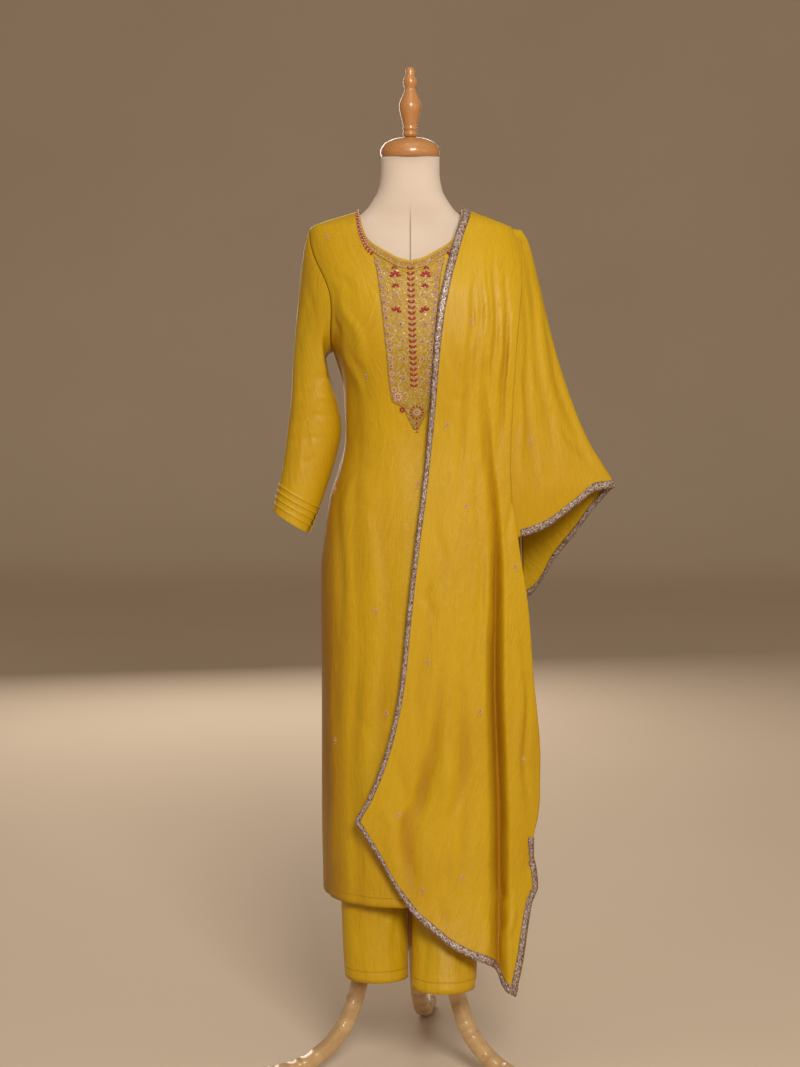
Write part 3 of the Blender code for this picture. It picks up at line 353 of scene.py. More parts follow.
class SuitSettings(bpy.types.PropertyGroup):
    """Sizes and colours of the suit that a user would change."""

    silk: colour_setting("Silk", "Colour of the suit's silk", (0.59, 0.362, 0.004))
    silk_shadow: colour_setting(
        "Silk, deep", "Colour of the silk's second thread", (0.43, 0.2, 0.002))
    # Painted shade: the colour that the silk is darkened towards in its folds and down the kurta's
    # sides
    silk_painted_shade: colour_setting(
        "Silk, painted shade", "Colour painted into the silk's folds and the kurta's sides as shade", (0.26, 0.07, 0.001))
    lace_silver: colour_setting("Lace, silver", "Silver thread of the lace", (0.62, 0.5, 0.42))
    lace_rose: colour_setting("Lace, rose", "Rose gold thread of the lace", (0.4, 0.21, 0.17))
    red_thread: colour_setting("Red thread", "Red embroidery thread", (0.4, 0.012, 0.01))
    rose_thread: colour_setting("Rose thread", "Pale rose embroidery thread", (0.7, 0.43, 0.33))
    cotton: colour_setting("Form cover", "Colour of the form's cotton cover", (0.72, 0.59, 0.48))
    wood: colour_setting("Turned wood", "Colour of the cap and the finial", (0.54, 0.235, 0.07))
    leg_wood: colour_setting("Leg wood", "Colour of the bent legs", (0.64, 0.41, 0.19))
    crease_strength: bpy.props.FloatProperty(
        name="Creases", description="How strongly the creases stand", default=1.0, min=0.0,
        max=1.5)
    tuck_height: length_setting(
        "Pin tucks", "Height of the pin tucks above the cuff", 0.0019, 0.0, 0.004)
    hem_stitch: length_setting(
        "Hem stitching", "Distance of the stitch line from the hem", 0.0145, 0.004, 0.05)


def settings():
    return bpy.context.scene.suit


@lru_cache(maxsize=None)
def read(rows, key, column):
    """One column of a table at the key, on a smooth curve that does not overshoot."""
    last = len(rows) - 1
    if key <= rows[0][0]:
        return rows[0][column]
    if key >= rows[last][0]:
        return rows[last][column]
    index = max(i for i in range(last) if rows[i][0] <= key)

    def slope(i):
        return (rows[i + 1][column] - rows[i][column]) / (rows[i + 1][0] - rows[i][0])

    def tangent(i):
        if i == 0 or i == last:
            return slope(min(i, last - 1))
        before, after = slope(i - 1), slope(i)
        if before * after <= 0:
            return 0.0
        return 2.0 * before * after / (before + after)

    span = rows[index + 1][0] - rows[index][0]
    t = (key - rows[index][0]) / span
    return (
        rows[index][column] * (1 + 2 * t) * (1 - t) ** 2
        + rows[index + 1][column] * (3 - 2 * t) * t * t
        + tangent(index) * span * t * (1 - t) ** 2
        - tangent(index + 1) * span * t * t * (1 - t)
    )


def ease(value, low, high):
    """0 below low, 1 above high and smooth between them."""
    t = min(max((value - low) / (high - low), 0.0), 1.0)
    return t * t * (3 - 2 * t)


def bump(distance, half_width):
    """A soft hump, 1 at its middle and 0 past its half width."""
    if abs(distance) >= half_width:
        return 0.0
    return 0.5 * (1 + math.cos(math.pi * distance / half_width))


def rounded(half_width, front, back, angle):
    """A point on a rounded section: 0 at the wearer's right, a quarter turn at the front."""
    power = 2.0 / SQUARENESS
    c, s = math.cos(angle), math.sin(angle)
    depth = -front if s > 0 else back
    return -half_width * math.copysign(abs(c) ** power, c), depth * abs(s) ** power


def depth_at(half_width, depth, x):
    """How far a rounded section stands from its long axis at x."""
    share = min(abs(x) / half_width, 1.0)
    return depth * (1 - share ** SQUARENESS) ** (1 / SQUARENESS)


def body_point(angle, height):
    """A point on the outer face of the kurta's body."""
    half_width = read(KURTA, height, 1)
    front, back = read(KURTA, height, 2), read(KURTA, height, 3)
    degrees = math.degrees(angle) % 360.0
    for place, top, depth, spread in KURTA_FOLDS:
        pull = depth * bump(degrees - place, spread) * (1 - ease(height, KURTA_HEM, top))
        front -= pull
        back -= pull
        half_width -= 0.5 * pull
    x, y = rounded(half_width, front, back, angle)
    return Vector((x, y, height))


def crowd_shoulder(v):
    if v <= ARMHOLE_START:
        return v
    rest = (1 - v) / (1 - ARMHOLE_START)
    return ARMHOLE_START + (1 - ARMHOLE_START) * (1 - rest ** ARMHOLE_CROWDING)


def body_edge(v):
    """The side edge of the kurta as an angle in from the side and a height."""
    if v <= ARMHOLE_START:
        height = KURTA_HEM + (UNDERARM - KURTA_HEM) * v / ARMHOLE_START
        return SLIT_OPENING * (1 - ease(height, KURTA_HEM, SLIT_TOP)) + SIDE_SEAM_ANGLE, height
    share = (v - ARMHOLE_START) / (1 - ARMHOLE_START)
    angle = ARMHOLE_DEPTH * math.sin(math.pi * share) ** 0.8
    return max(angle, SIDE_SEAM_ANGLE), UNDERARM + (SHOULDER_TIP[1] - UNDERARM) * share


def body_rim(u, neckline, seam):
    """The shoulder seams and the neckline between them, as x and height."""
    side = min(u, 1 - u)
    if side <= seam:
        height = SHOULDER_TIP[1] + (NECK_POINT[1] - SHOULDER_TIP[1]) * side / seam
        x = read(KURTA, height, 1)
    else:
        x = NECK_POINT[0] * math.sin((0.5 - side) / (0.5 - seam) * math.pi / 2)
        height = read(neckline, x, 1)
    return (-x if u < 0.5 else x), height


def body_panel(neckline, back):
    """Front or back of the kurta's body between its hem, side seams, armholes and neckline."""
    seam = BACK_SEAM_SHARE if back else FRONT_SEAM_SHARE
    depth_column = 3 if back else 2
    start = crowd_shoulder(YOKE_START)

    def ring(u, v):
        inset, height = body_edge(v)
        angle = inset + (math.pi - 2 * inset) * u
        return body_point(-angle if back else angle, height)

    def surface(u, v):
        v = crowd_shoulder(v)
        across = 1 - u if back else u
        if v <= start:
            return ring(across, v)
        low, high = ring(across, start), body_rim(across, neckline, seam)
        left, left_low = ring(0.0, v), ring(0.0, start)
        t = (left.z - left_low.z) / (SHOULDER_TIP[1] - left_low.z)
        tip = body_rim(0.0, neckline, seam)[0]
        side = left.x - (left_low.x * (1 - t) + tip * t)
        x = low.x * (1 - t) + high[0] * t + side * (1 - 2 * across)
        height = low.z * (1 - t) + high[1] * t
        depth = depth_at(read(KURTA, height, 1), read(KURTA, height, depth_column), x)
        depth = max(depth, SHOULDER_SEAM_INSET)
        return Vector((x, depth if back else -depth, height))

    return surface


def sleeve_tube(side):
    """A sleeve from its cuff to the armhole; side is -1 for the wearer's right."""
    def armhole(share):
        front = share <= 0.5
        up = 2 * share if front else 2 - 2 * share
        up = min(max(up, 0.0), 1.0)
        angle, height = body_edge(crowd_shoulder(ARMHOLE_START + (1 - ARMHOLE_START) * up))
        point = body_point(angle if front else -angle, height)
        return Vector((ARMHOLE_GAP - point.x, point.y, point.z))

    def surface(u, v):
        share = u if side > 0 else 1 - u
        if v < 0.5:
            down = 1 - CUFF_SHARE * v / 0.5
        else:
            down = (1 - CUFF_SHARE) * (1 - v) / 0.5
        slit = bump(down - 1, 0.15)
        turn = math.tau * (0.085 * slit + (1 - 0.095 * slit) * share)
        outward = 0.5 - 0.5 * math.cos(turn)
        height = read(SLEEVE, down, 2) * (1 - outward) + read(SLEEVE, down, 1) * outward
        x = read(SLEEVE, down, 4) * (1 - outward) + read(SLEEVE, down, 3) * outward
        y = read(SLEEVE, down, 6) - read(SLEEVE, down, 5) * math.sin(turn)
        blend = ease(down, 0.0, SLEEVE_BLEND)
        place = armhole(share) * (1 - blend) + Vector((x, y, height)) * blend
        place.x += ARMHOLE_FLARE * 4 * blend * (1 - blend) * (1 - outward)
        return Vector((side * place.x, place.y, place.z))

    return surface


def trouser_leg(side):
    """One trouser leg, cut in one piece, from its front inseam round to its back inseam."""
    hem = TROUSER_HEM["left" if side > 0 else "right"]
    drift = 2 if side > 0 else 1

    def surface(u, v):
        share = u if side > 0 else 1 - u
        height = hem + (TROUSER_TOP - hem) * v
        angle = math.pi / 2 - math.pi * share
        x, y = rounded(*(read(TORSO, height, k) + TROUSER_EASE for k in (1, 2, 3)), angle)
        upper = Vector((max(-x, CENTRE_GAP), y, height))
        inner, outer = read(TROUSER_TUBE, height, 1), read(TROUSER_TUBE, height, 2)
        turn = INSEAM_ANGLE + (math.tau - 2 * INSEAM_ANGLE) * share
        tube = Vector((
            0.5 * (inner + outer) - 0.5 * (outer - inner) * math.cos(turn),
            read(TROUSER_DRIFT, height, drift) - read(TROUSER_TUBE, height, 3) * math.sin(turn),
            height,
        ))
        blend = ease(height, CROTCH_LOW, CROTCH_HIGH)
        place = tube * (1 - blend) + upper * blend
        return Vector((side * place.x, place.y, place.z))

    return surface


def waistband(u, v):
    height = TROUSER_TOP + SEAM_GAP + (WAISTBAND_TOP - TROUSER_TOP) * v
    x, y = rounded(*(read(TORSO, height, k) + TROUSER_EASE for k in (1, 2, 3)), math.tau * u)
    return Vector((x, y, height))


def climb(v, length):
    """Distance up a stretch of the dupatta, with rows closer together at the shoulder."""
    return length * (1 - (1 - v) ** SHOULDER_CROWDING)


def drape_top(across):
    """Where the ridge over the shoulder seam lies, as x and height."""
    low, high = DRAPE[-2], DRAPE[-1]
    x = high[1] + (low[1] - high[1]) * across
    return x, low[0] + (high[0] - low[0]) * (low[1] - x) / (low[1] - high[1])


def front_fall(u, v):
    """The dupatta's front fall: its lace edge at u 0, its turned-back edge at u 1."""
    across = min(u / TURN_SHARE, 1.0)
    turned_share = max(u - TURN_SHARE, 0.0) / (1 - TURN_SHARE)
    top_x, top = drape_top(across)
    bottom = read(FRONT_END, across, 1)
    height = bottom + climb(v, top - bottom)
    inner, outer = read(FRONT_FALL, height, 1), read(FRONT_FALL, height, 2)
    if height > DRAPE[-2][0]:
        share = (height - DRAPE[-2][0]) / (DRAPE[-1][0] - DRAPE[-2][0])
        outer = DRAPE[-2][1] + (DRAPE[-1][1] - DRAPE[-2][1]) * share
    x = inner + (outer - inner) * across
    near_top = 1 - ease(top - height, 0.0, SHOULDER_SETTLE)
    x = x * (1 - near_top) + top_x * near_top
    half_width = read(DRAPE, height, 1)
    y = -depth_at(half_width, read(DRAPE, height, 2), min(x, half_width))
    middle, half = read(DEEP_FOLD, height, 1), read(DEEP_FOLD, height, 3)
    inward = read(DEEP_FOLD, height, 2) * bump(x - middle, half)
    for place, low, high, depth, spread in LESSER_FOLDS:
        inward += depth * bump(across - place, spread) * bump(
            height - 0.5 * (low + high), 0.5 * (high - low))
    y = min(y + inward, -RIDGE_GAP)
    length = read(FRONT_FALL, height, 3) * turned_share
    x += (TURN_ROLL * math.sin(math.pi * turned_share) - TURN_LEAN * length) * (1 - near_top)
    return Vector((x, y + length * (1 - near_top), height))


def back_fall(u, v):
    """The dupatta's back fall, from its outer edge at u 0 to its inner edge at u 1."""
    across = 1 - u
    top_x, top = drape_top(across)
    bottom = BACK_END[1] + (BACK_END[0] - BACK_END[1]) * across
    height = bottom + climb(v, top - bottom)
    inner, outer = read(BACK_FALL, height, 1), read(BACK_FALL, height, 2)
    x = inner + (outer - inner) * across
    near_top = 1 - ease(top - height, 0.0, SHOULDER_SETTLE)
    x = x * (1 - near_top) + top_x * near_top
    half_width = read(DRAPE, height, 1)
    y = depth_at(half_width, read(DRAPE, height, 3), min(x, half_width))
    for place, depth, spread in BACK_FOLDS:
        y += depth * bump(across - place, spread) * (1 - ease(height, 0.75, 1.40))
    return Vector((x, max(y, RIDGE_GAP), height))


def arm_stretch(u, v):
    """The dupatta over the arm, gathered in under the falls at the shoulder."""
    place = arm_side(u, min(v / ARM_COVER, 1.0))
    if v <= ARM_COVER:
        return place
    middle = 1 - abs(1 - 2 * u)
    height = read(ARM_ENDS, u, 2) + ARM_RISE * middle
    fall, depth_column = (FRONT_FALL, 2) if u < 0.5 else (BACK_FALL, 3)
    edge = read(fall, height, 2) - ARM_TUCK
    depth = depth_at(read(DRAPE, height, 1), read(DRAPE, height, depth_column), edge)
    y = math.copysign((depth - RIDGE_GAP) * (1 - middle) ** 0.5, u - 0.5)
    return place.lerp(Vector((edge, y, height)), (v - ARM_COVER) / (1 - ARM_COVER))


def arm_side(u, v):
    """The dupatta over the arm, from behind the front fall round to the back fall."""
    bottom, top = read(ARM_ENDS, u, 1), read(ARM_ENDS, u, 2)
    height = bottom + (top - bottom) * v
    half_width = read(DRAPE, height, 1)
    front_edge, back_edge = read(FRONT_FALL, height, 2), read(BACK_FALL, height, 2)
    start_x = front_edge - ARM_TUCK
    start_y = -depth_at(half_width, read(DRAPE, height, 2), front_edge)
    start_y = min(start_y + read(FRONT_FALL, height, 3) + ARM_TUCK_GAP, -ARM_NEAREST)
    end_x = back_edge + ARM_BACK_GAP
    end_y = max(depth_at(half_width, read(DRAPE, height, 3), back_edge), ARM_NEAREST)
    root = start_x + (end_x - start_x) * u
    x = root + (read(ARM_TIP, height, 1) - root) * (1 - abs(1 - 2 * u) ** ARM_POINT)
    return Vector((x, start_y + (end_y - start_y) * u, height))


def form_body(u, v):
    height = TORSO[0][0] + (TORSO[-1][0] - TORSO[0][0]) * v
    x, y = rounded(*(read(TORSO, height, k) for k in (1, 2, 3)), math.tau * u)
    return Vector((x, y, height))


def crease_relief(creases, mirrored=1, soft=0.0006, fade=0.05):
    """How far the cloth stands out at a place: listed creases, and an uneven slack."""
    def relief(u, v, place):
        x = mirrored * place.x
        total = 0.0
        for x0, z0, x1, z1, stand, half_width in creases:
            along = Vector((x1 - x0, z1 - z0))
            t = (Vector((x - x0, place.z - z0)) @ along) / along.length_squared
            if not -0.1 < t < 1.1:
                continue
            bent = 0.35 * half_width * math.sin(9.0 * t + 31.0 * x0)
            gap = ((x - x0) * along.y - (place.z - z0) * along.x) / along.length + bent
            total += stand * bump(gap, half_width * (0.8 + 0.5 * t)) * bump(t - 0.5, 0.6) ** 0.5
        uneven = 0.75 + 0.5 * noise.noise(Vector((place.x * 9, place.y * 9, place.z * 6)))
        slack = noise.noise(Vector((place.x * 22, place.y * 22, place.z * 11)))
        slack += 0.5 * noise.noise(Vector((place.x * 60, place.y * 60, place.z * 34)))
        near = min(ease(u, 0, fade), ease(1 - u, 0, fade), ease(1 - v, 0, fade))
        return (total * uneven + soft * slack) * near * settings().crease_strength

    return relief


class Cloth:
    """A stretch of cloth as a fine lattice of points, for its mesh and for what lies on it."""

    def __init__(self, columns, rows, surface, relief=None):
        self.columns, self.rows = columns, rows
        self.points = np.array([
            [surface(i / columns, j / rows) for j in range(rows + 1)]
            for i in range(columns + 1)
        ])
        self.turn_out()
        if relief:
            stand = np.array([
                [
                    relief(i / columns, j / rows, Vector(self.points[i, j]))
                    for j in range(rows + 1)
                ]
                for i in range(columns + 1)
            ])
            self.points = self.points + self.normals * stand[:, :, None]
            self.turn_out()

    def turn_out(self):
        """The lattice's outward directions, and the distances across and up the cloth."""
        across = np.gradient(self.points, axis=0)
        up = np.gradient(self.points, axis=1)
        out = np.cross(across, up)
        self.normals = out / np.maximum(np.linalg.norm(out, axis=2, keepdims=True), 1e-9)
        steps = np.linalg.norm(np.diff(self.points, axis=0), axis=2)
        self.across = np.vstack([np.zeros(self.rows + 1), np.cumsum(steps, axis=0)])
        steps = np.linalg.norm(np.diff(self.points, axis=1), axis=2)
        self.up = np.hstack([np.zeros((self.columns + 1, 1)), np.cumsum(steps, axis=1)])

    def hollow(self):
        """How deep in a fold each point of the lattice lies, from 0 to 1, for painted fold shade.
        """
        spacing = float(self.across[-1].mean()) / self.columns
        reach = max(round(FOLD_REACH / spacing), 2)
        wide = np.pad(self.points, ((reach, reach), (0, 0), (0, 0)), mode="edge")
        mean = sum(wide[k:k + self.columns + 1] for k in range(2 * reach + 1)) / (2 * reach + 1)
        depth = ((mean - self.points) * self.normals).sum(axis=2)
        return np.clip(depth / FOLD_DEPTH, 0.0, 1.0)

    def at(self, values, u, v):
        """A value of the lattice between its points."""
        x, y = min(max(u, 0.0), 1.0) * self.columns, min(max(v, 0.0), 1.0) * self.rows
        i, j = min(int(x), self.columns - 1), min(int(y), self.rows - 1)
        s, t = x - i, y - j
        low = values[i, j] * (1 - s) + values[i + 1, j] * s
        high = values[i, j + 1] * (1 - s) + values[i + 1, j + 1] * s
        return low * (1 - t) + high * t

    def over(self, u, v, height=0.0):
        return Vector(self.at(self.points, u, v) + self.at(self.normals, u, v) * height)

    def find(self, x, height):
        """The cloth's own coordinates under a place seen from the front or the back."""
        gap = (self.points[:, :, 0] - x) ** 2 + (self.points[:, :, 2] - height) ** 2
        i, j = np.unravel_index(gap.argmin(), gap.shape)
        i, j = min(max(i, 1), self.columns - 1), min(max(j, 1), self.rows - 1)
        side = 0.5 * (self.points[i + 1, j] - self.points[i - 1, j])
        up = 0.5 * (self.points[i, j + 1] - self.points[i, j - 1])
        miss = np.array((x, 0.0, height)) - self.points[i, j]
        scale = side[0] * up[2] - side[2] * up[0]
        u = i + (miss[0] * up[2] - miss[2] * up[0]) / scale
        v = j + (miss[2] * side[0] - miss[0] * side[2]) / scale
        return u / self.columns, v / self.rows

    def below_top(self, u, distance):
        """How far up the cloth lies a place at that distance below its top edge."""
        column = min(max(round(u * self.columns), 0), self.columns)
        lengths = self.up[column]
        row = np.interp(lengths[-1] - distance, lengths, np.arange(self.rows + 1))
        return float(row) / self.rows

    def place(self, u, v, height):
        """A frame on the cloth: side, up and out, standing at a height over it."""
        out = Vector(self.at(self.normals, u, v)).normalized()
        up = self.over(u, min(v + 0.004, 1.0)) - self.over(u, v - 0.004)
        up = (up - out * up.dot(out)).normalized()
        side = up.cross(out)
        stand = Matrix.Identity(4)
        for k, axis in enumerate((side, up, out, self.over(u, v, height))):
            stand.col[k][:3] = axis
        return stand


CLOTHS = {}


def cloth_of(name):
    """The lattice of one stretch of cloth, worked out once."""
    if name not in CLOTHS:
        columns, rows, surface, relief = {
            "kurta_front": (100, 190, body_panel(NECKLINE, False), crease_relief(KURTA_CREASES)),
            "kurta_back": (80, 150, body_panel(BACK_NECKLINE, True), crease_relief(BACK_CREASES)),
            "kurta_sleeve_right": (72, 170, sleeve_tube(-1), sleeve_relief(-1)),
            "kurta_sleeve_left": (72, 170, sleeve_tube(1), sleeve_relief(1)),
            "trouser_leg_right": (84, 96, trouser_leg(-1), crease_relief(TROUSER_CREASES, -1)),
            "trouser_leg_left": (84, 96, trouser_leg(1), crease_relief(TROUSER_CREASES, 1)),
            "trouser_waistband": (96, 6, waistband, None),
            "dupatta_front": (144, 190, front_fall, fall_relief(FALL_CREASES)),
            "dupatta_arm": (96, 100, arm_stretch, crease_relief(ARM_CREASES)),
            "dupatta_back": (72, 140, back_fall, fall_relief(BACK_FALL_CREASES)),
        }[name]
        CLOTHS[name] = Cloth(columns, rows, surface, relief)
    return CLOTHS[name]


def fall_relief(creases):
    """Creases of the dupatta, which lies close to what is under it at the shoulder."""
    relief = crease_relief(creases, soft=0.0007, fade=0.02)
    return lambda u, v, place: relief(u, v, place) * (1 - 0.8 * ease(place.z, 1.36, 1.44))


def sleeve_relief(side):
    """Creases of a sleeve, with the pin tucks above its cuff."""
    relief = crease_relief(SLEEVE_CREASES, side, fade=0.0001)

    def stand(u, v, place):
        from_hem = 2 * CUFF_LENGTH * v
        tuck = sum(
            bump(from_hem - line, 0.0038 if from_hem > line else 0.0010) for line in CUFF_TUCKS)
        near_armhole = 1 - ease(v, 0.86, 0.97)
        return relief(u, v, place) * near_armhole + settings().tuck_height * tuck

    return stand


class Value:
    """A socket of a material, for sums written as expressions."""

    def __init__(self, finish, socket):
        self.finish, self.socket = finish, socket

    def sum(self, operation, *others):
        return self.finish.node("ShaderNodeMath", dict(enumerate(others)), operation=operation)

    def __rsub__(self, other):
        return self.sum("SUBTRACT", other, self)

    def __abs__(self):
        return self.sum("ABSOLUTE", self)

    def sine(self):
        return self.sum("SINE", self)

    def between(self, low, high):
        """0 below low, 1 above high and smooth between them."""
        return self.finish.node(
            "ShaderNodeMapRange", {0: self, 1: low, 2: high, 3: 0.0, 4: 1.0},
            interpolation_type="SMOOTHSTEP")


def value_sum(operation):
    return lambda self, other: self.sum(operation, self, other)


for sign, operation in (
    ("__add__", "ADD"), ("__radd__", "ADD"), ("__sub__", "SUBTRACT"), ("__mul__", "MULTIPLY"),
    ("__rmul__", "MULTIPLY"), ("__gt__", "GREATER_THAN"), ("__lt__", "LESS_THAN"),
    ("larger", "MAXIMUM"),
):
    setattr(Value, sign, value_sum(operation))


def once(make):
    """A material that is made the first time and found by its name after that."""
    return lambda name, *details: bpy.data.materials.get(name) or make(name, *details)


def tinted(colour, factor, lift=0.0):
    return [min(part * factor + lift, 1.0) for part in colour]


class Finish:
    """One material: its nodes, and the sockets of its surface."""

    def __init__(self, name, **fixed):
        self.material = bpy.data.materials.new(name)
        self.material.use_nodes = True
        self.tree = self.material.node_tree
        self.surface = self.tree.nodes["Principled BSDF"]
        self.set(**fixed)

    def feed(self, socket, value):
        if isinstance(value, Value):
            self.tree.links.new(value.socket, socket)
        else:
            socket.default_value = value

    def node(self, kind, sockets, output=0, **details):
        """Any node, with its settings first and then the values or links of its sockets."""
        made = self.tree.nodes.new(kind)
        for key, value in details.items():
            setattr(made, key, value)
        for key, value in sockets.items():
            self.feed(made.inputs[key], value)
        return Value(self, made.outputs[output])

    def set(self, **values):
        """Values or links for the surface's sockets, by their names."""
        for key, value in values.items():
            name = key.replace("_", " ").title().replace("Ior", "IOR")
            self.feed(self.surface.inputs[name], value)

    def place(self):
        """Object coordinates."""
        return self.node("ShaderNodeTexCoord", {}, output="Object")

    def cut(self):
        """The piece's own coordinates in metres across and along its cut."""
        return self.node("ShaderNodeUVMap", {}, uv_map="Cut")

    def axes(self, vector):
        split = self.node("ShaderNodeSeparateXYZ", {0: vector})
        return [Value(self, split.socket.node.outputs[k]) for k in range(3)]

    def stretched(self, vector, scale, turn=(0.0, 0.0, 0.0)):
        return self.node(
            "ShaderNodeMapping", {"Vector": vector, "Scale": scale, "Rotation": turn})

    def mottle(self, vector, scale=1.0, detail=2.0, roughness=0.5, distortion=0.0):
        return self.node("ShaderNodeTexNoise", {
            "Vector": vector, "Scale": scale, "Detail": detail, "Roughness": roughness,
            "Distortion": distortion})

    def cells(self, vector, scale, output="Distance", feature="F1"):
        return self.node(
            "ShaderNodeTexVoronoi", {"Vector": vector, "Scale": scale}, output=output,
            feature=feature)

    def mix(self, factor, first, second):
        return self.node(
            "ShaderNodeMix", {0: factor, 6: self.colour(first), 7: self.colour(second)},
            output=2, data_type="RGBA")

    def colour(self, value):
        return value if isinstance(value, Value) else (*value[:3], 1.0)

    def relief(self, height, distance, strength=1.0, under=None):
        sockets = {"Height": height, "Distance": distance, "Strength": strength}
        if under is not None:
            sockets["Normal"] = under
        return self.node("ShaderNodeBump", sockets)


@once
def silk_finish(name, hem=None, sides=None):
    """Shot, slubbed silk: mustard, with painted shade in its folds, its hem groove and its sides,
    and uneven threads both ways.
    """
    silk, deep, shade_colour = settings().silk, settings().silk_shadow, settings().silk_painted_shade
    finish = Finish(
        name, Metallic=0.0, Specular_IOR_Level=0.34, Sheen_Weight=0.05, Sheen_Roughness=0.35,
        Sheen_Tint=(1.0, 0.72, 0.22, 1.0))
    cut, place = finish.cut(), finish.place()
    slub = finish.mottle(finish.stretched(cut, (40, 520, 1)), detail=3.0, roughness=0.65)
    warp = finish.mottle(finish.stretched(cut, (430, 20, 1)), detail=3.0, roughness=0.65)
    crumple = finish.mottle(
        finish.stretched(cut, (125, 30, 1)), detail=3.0, roughness=0.55, distortion=0.7)
    cloud = finish.mottle(place, 5.5, 3.0)
    fold = finish.node("ShaderNodeAttribute", {}, output="Fac", attribute_name="FoldShade")
    thick = slub.between(0.56, 0.70)
    colour = finish.mix(
        cloud.between(0.35, 0.70) * 0.26 + crumple.between(0.45, 0.72) * 0.12, silk, deep)
    colour = finish.mix(warp.between(0.44, 0.66) * 0.15, colour, deep)
    colour = finish.mix(thick * 0.26, colour, tinted(silk, 1.22, 0.02))
    # Painted shade in the folds, as strong as the cloth lies deep in a fold
    colour = finish.mix(fold * 0.62, colour, shade_colour)
    # Painted shade down the kurta's sides, below the underarm
    if sides is not None:
        across, _, height = finish.axes(place)
        side_shade = abs(across - AXIS.x).between(*sides) * (1 - height.between(*KURTA_SIDE_SHADE_TOP))
        colour = finish.mix(side_shade * (0.38 + cloud * 0.30), colour, shade_colour)
    height = slub * 0.6 + warp * 0.5
    if hem is not None:
        across, along, _ = finish.axes(cut)
        away = abs(along - hem)
        groove = 1 - away.between(0.0003, 0.0019)
        stitched = (across * (math.tau / STITCH_LENGTH)).sine() > -0.45
        thread_line = (away < STITCH_WIDTH) * stitched
        # Painted shade in the hem's stitch groove
        colour = finish.mix(groove * 0.50, colour, deep)
        colour = finish.mix(thread_line * 0.7, colour, tinted(silk, 1.15))
        height = height - groove * 1.6 + thread_line * 0.8
    creased = finish.relief(crumple, 0.0034, 0.42)
    finish.set(
        Base_Color=colour, Roughness=0.38 + crumple * 0.16 - thick * 0.06,
        Normal=finish.relief(height, 0.0008, 0.55, creased))
    return finish.material


@once
def lace_finish(name):
    """Glitter lace: sequins and knots in silver, rose and dark thread, and a raised vine."""
    silver, rose = settings().lace_silver, settings().lace_rose
    finish = Finish(name, Specular_IOR_Level=0.6)
    cut = finish.cut()
    along, across, _ = finish.axes(cut)
    middle = 0.5 * LACE_WIDTH
    wave = (along * (math.tau / 0.0150)).sine() * 0.0027
    vine = 1 - abs(across - middle - wave).between(0.0006, 0.0014)
    returning = 1 - abs(across - middle + wave).between(0.0004, 0.0011)
    edges = abs(across - middle).between(middle - 0.0018, middle - 0.0008)
    sequins = finish.cells(cut, 520.0)
    tone = finish.axes(finish.cells(cut, 520.0, output="Color"))
    thread = vine.larger(returning * 0.8).larger((1 - sequins.between(0.20, 0.45)) * 0.8)
    colour = finish.mix(tone[0].between(0.38, 0.62), silver, rose)
    colour = finish.mix((tone[1] < 0.24) * 0.85, colour, tinted(rose, 0.16))
    colour = finish.mix((tone[2] > 0.84) * 0.85, colour, (0.95, 0.86, 0.80))
    colour = finish.mix(vine * 0.45, colour, tinted(silver, 1.25))
    colour = finish.mix(edges * 0.45, colour, tinted(rose, 0.45))
    colour = finish.mix((1 - thread) * 0.42, colour, tinted(rose, 0.22))
    uneven = finish.mottle(cut, 1100.0, 2.0)
    height = thread + uneven * 0.4 + tone[0] * 0.4
    finish.set(
        Base_Color=colour, Metallic=0.18 + thread * 0.25, Roughness=0.30 + uneven * 0.22,
        Normal=finish.relief(height, 0.0010, 0.9))
    return finish.material


@once
def stitched_ground_finish(name):
    """The silk under the embroidery, filled with looped gold and rose cords."""
    silk, rose = settings().silk, settings().rose_thread
    finish = Finish(name, Specular_IOR_Level=0.5)
    cut = finish.cut()
    loops = finish.cells(cut, 270.0, feature="SMOOTH_F1")
    lines = finish.cells(cut, 400.0, feature="DISTANCE_TO_EDGE")
    tone = finish.axes(finish.cells(cut, 400.0, output="Color"))[0]
    ring = 1 - abs(loops - 0.34).between(0.03, 0.075)
    cord = 1 - lines.between(0.02, 0.065)
    stitches = ring.larger(cord)
    thread = finish.mix(tone.between(0.40, 0.75), (0.34, 0.17, 0.07), rose)
    thread = finish.mix((tone > 0.80) * 0.9, thread, (0.88, 0.76, 0.62))
    colour = finish.mix(stitches * 0.70, tinted(silk, 0.95), thread)
    uneven = finish.mottle(cut, 1500.0, 2.0)
    finish.set(
        Base_Color=colour, Metallic=stitches * 0.12,
        Roughness=0.46 - stitches * 0.10 + uneven * 0.1,
        Normal=finish.relief(stitches + uneven * 0.3, 0.0009, 0.8))
    return finish.material


@once
def thread_finish(name, colour, metallic=0.0, roughness=0.42):
    """Satin stitches of one thread."""
    finish = Finish(name, Specular_IOR_Level=0.5, Sheen_Weight=0.10)
    place = finish.place()
    strands = finish.mottle(finish.stretched(place, (1500, 700, 420)), detail=2.0)
    tone = finish.mottle(place, 60.0, 2.0)
    base = finish.mix(tone.between(0.30, 0.70) * 0.5, colour, tinted(colour, 0.55))
    base = finish.mix(strands.between(0.50, 0.75) * 0.4, base, tinted(colour, 1.5, 0.03))
    finish.set(
        Base_Color=base, Metallic=metallic + 0.08 * strands, Roughness=roughness + 0.14 * tone,
        Normal=finish.relief(strands, 0.0005, 0.8))
    return finish.material


@once
def mirror_finish(name):
    """Small dark mirror chips with a worn tin back."""
    finish = Finish(name, Specular_IOR_Level=0.7)
    cloud = finish.mottle(finish.place(), 220.0, 3.0)
    colour = finish.mix(cloud.between(0.4, 0.7), (0.20, 0.15, 0.13), (0.46, 0.38, 0.34))
    finish.set(
        Base_Color=colour, Metallic=0.75 + cloud * 0.2, Roughness=0.10 + cloud * 0.18,
        Normal=finish.relief(cloud, 0.0002, 0.4))
    return finish.material


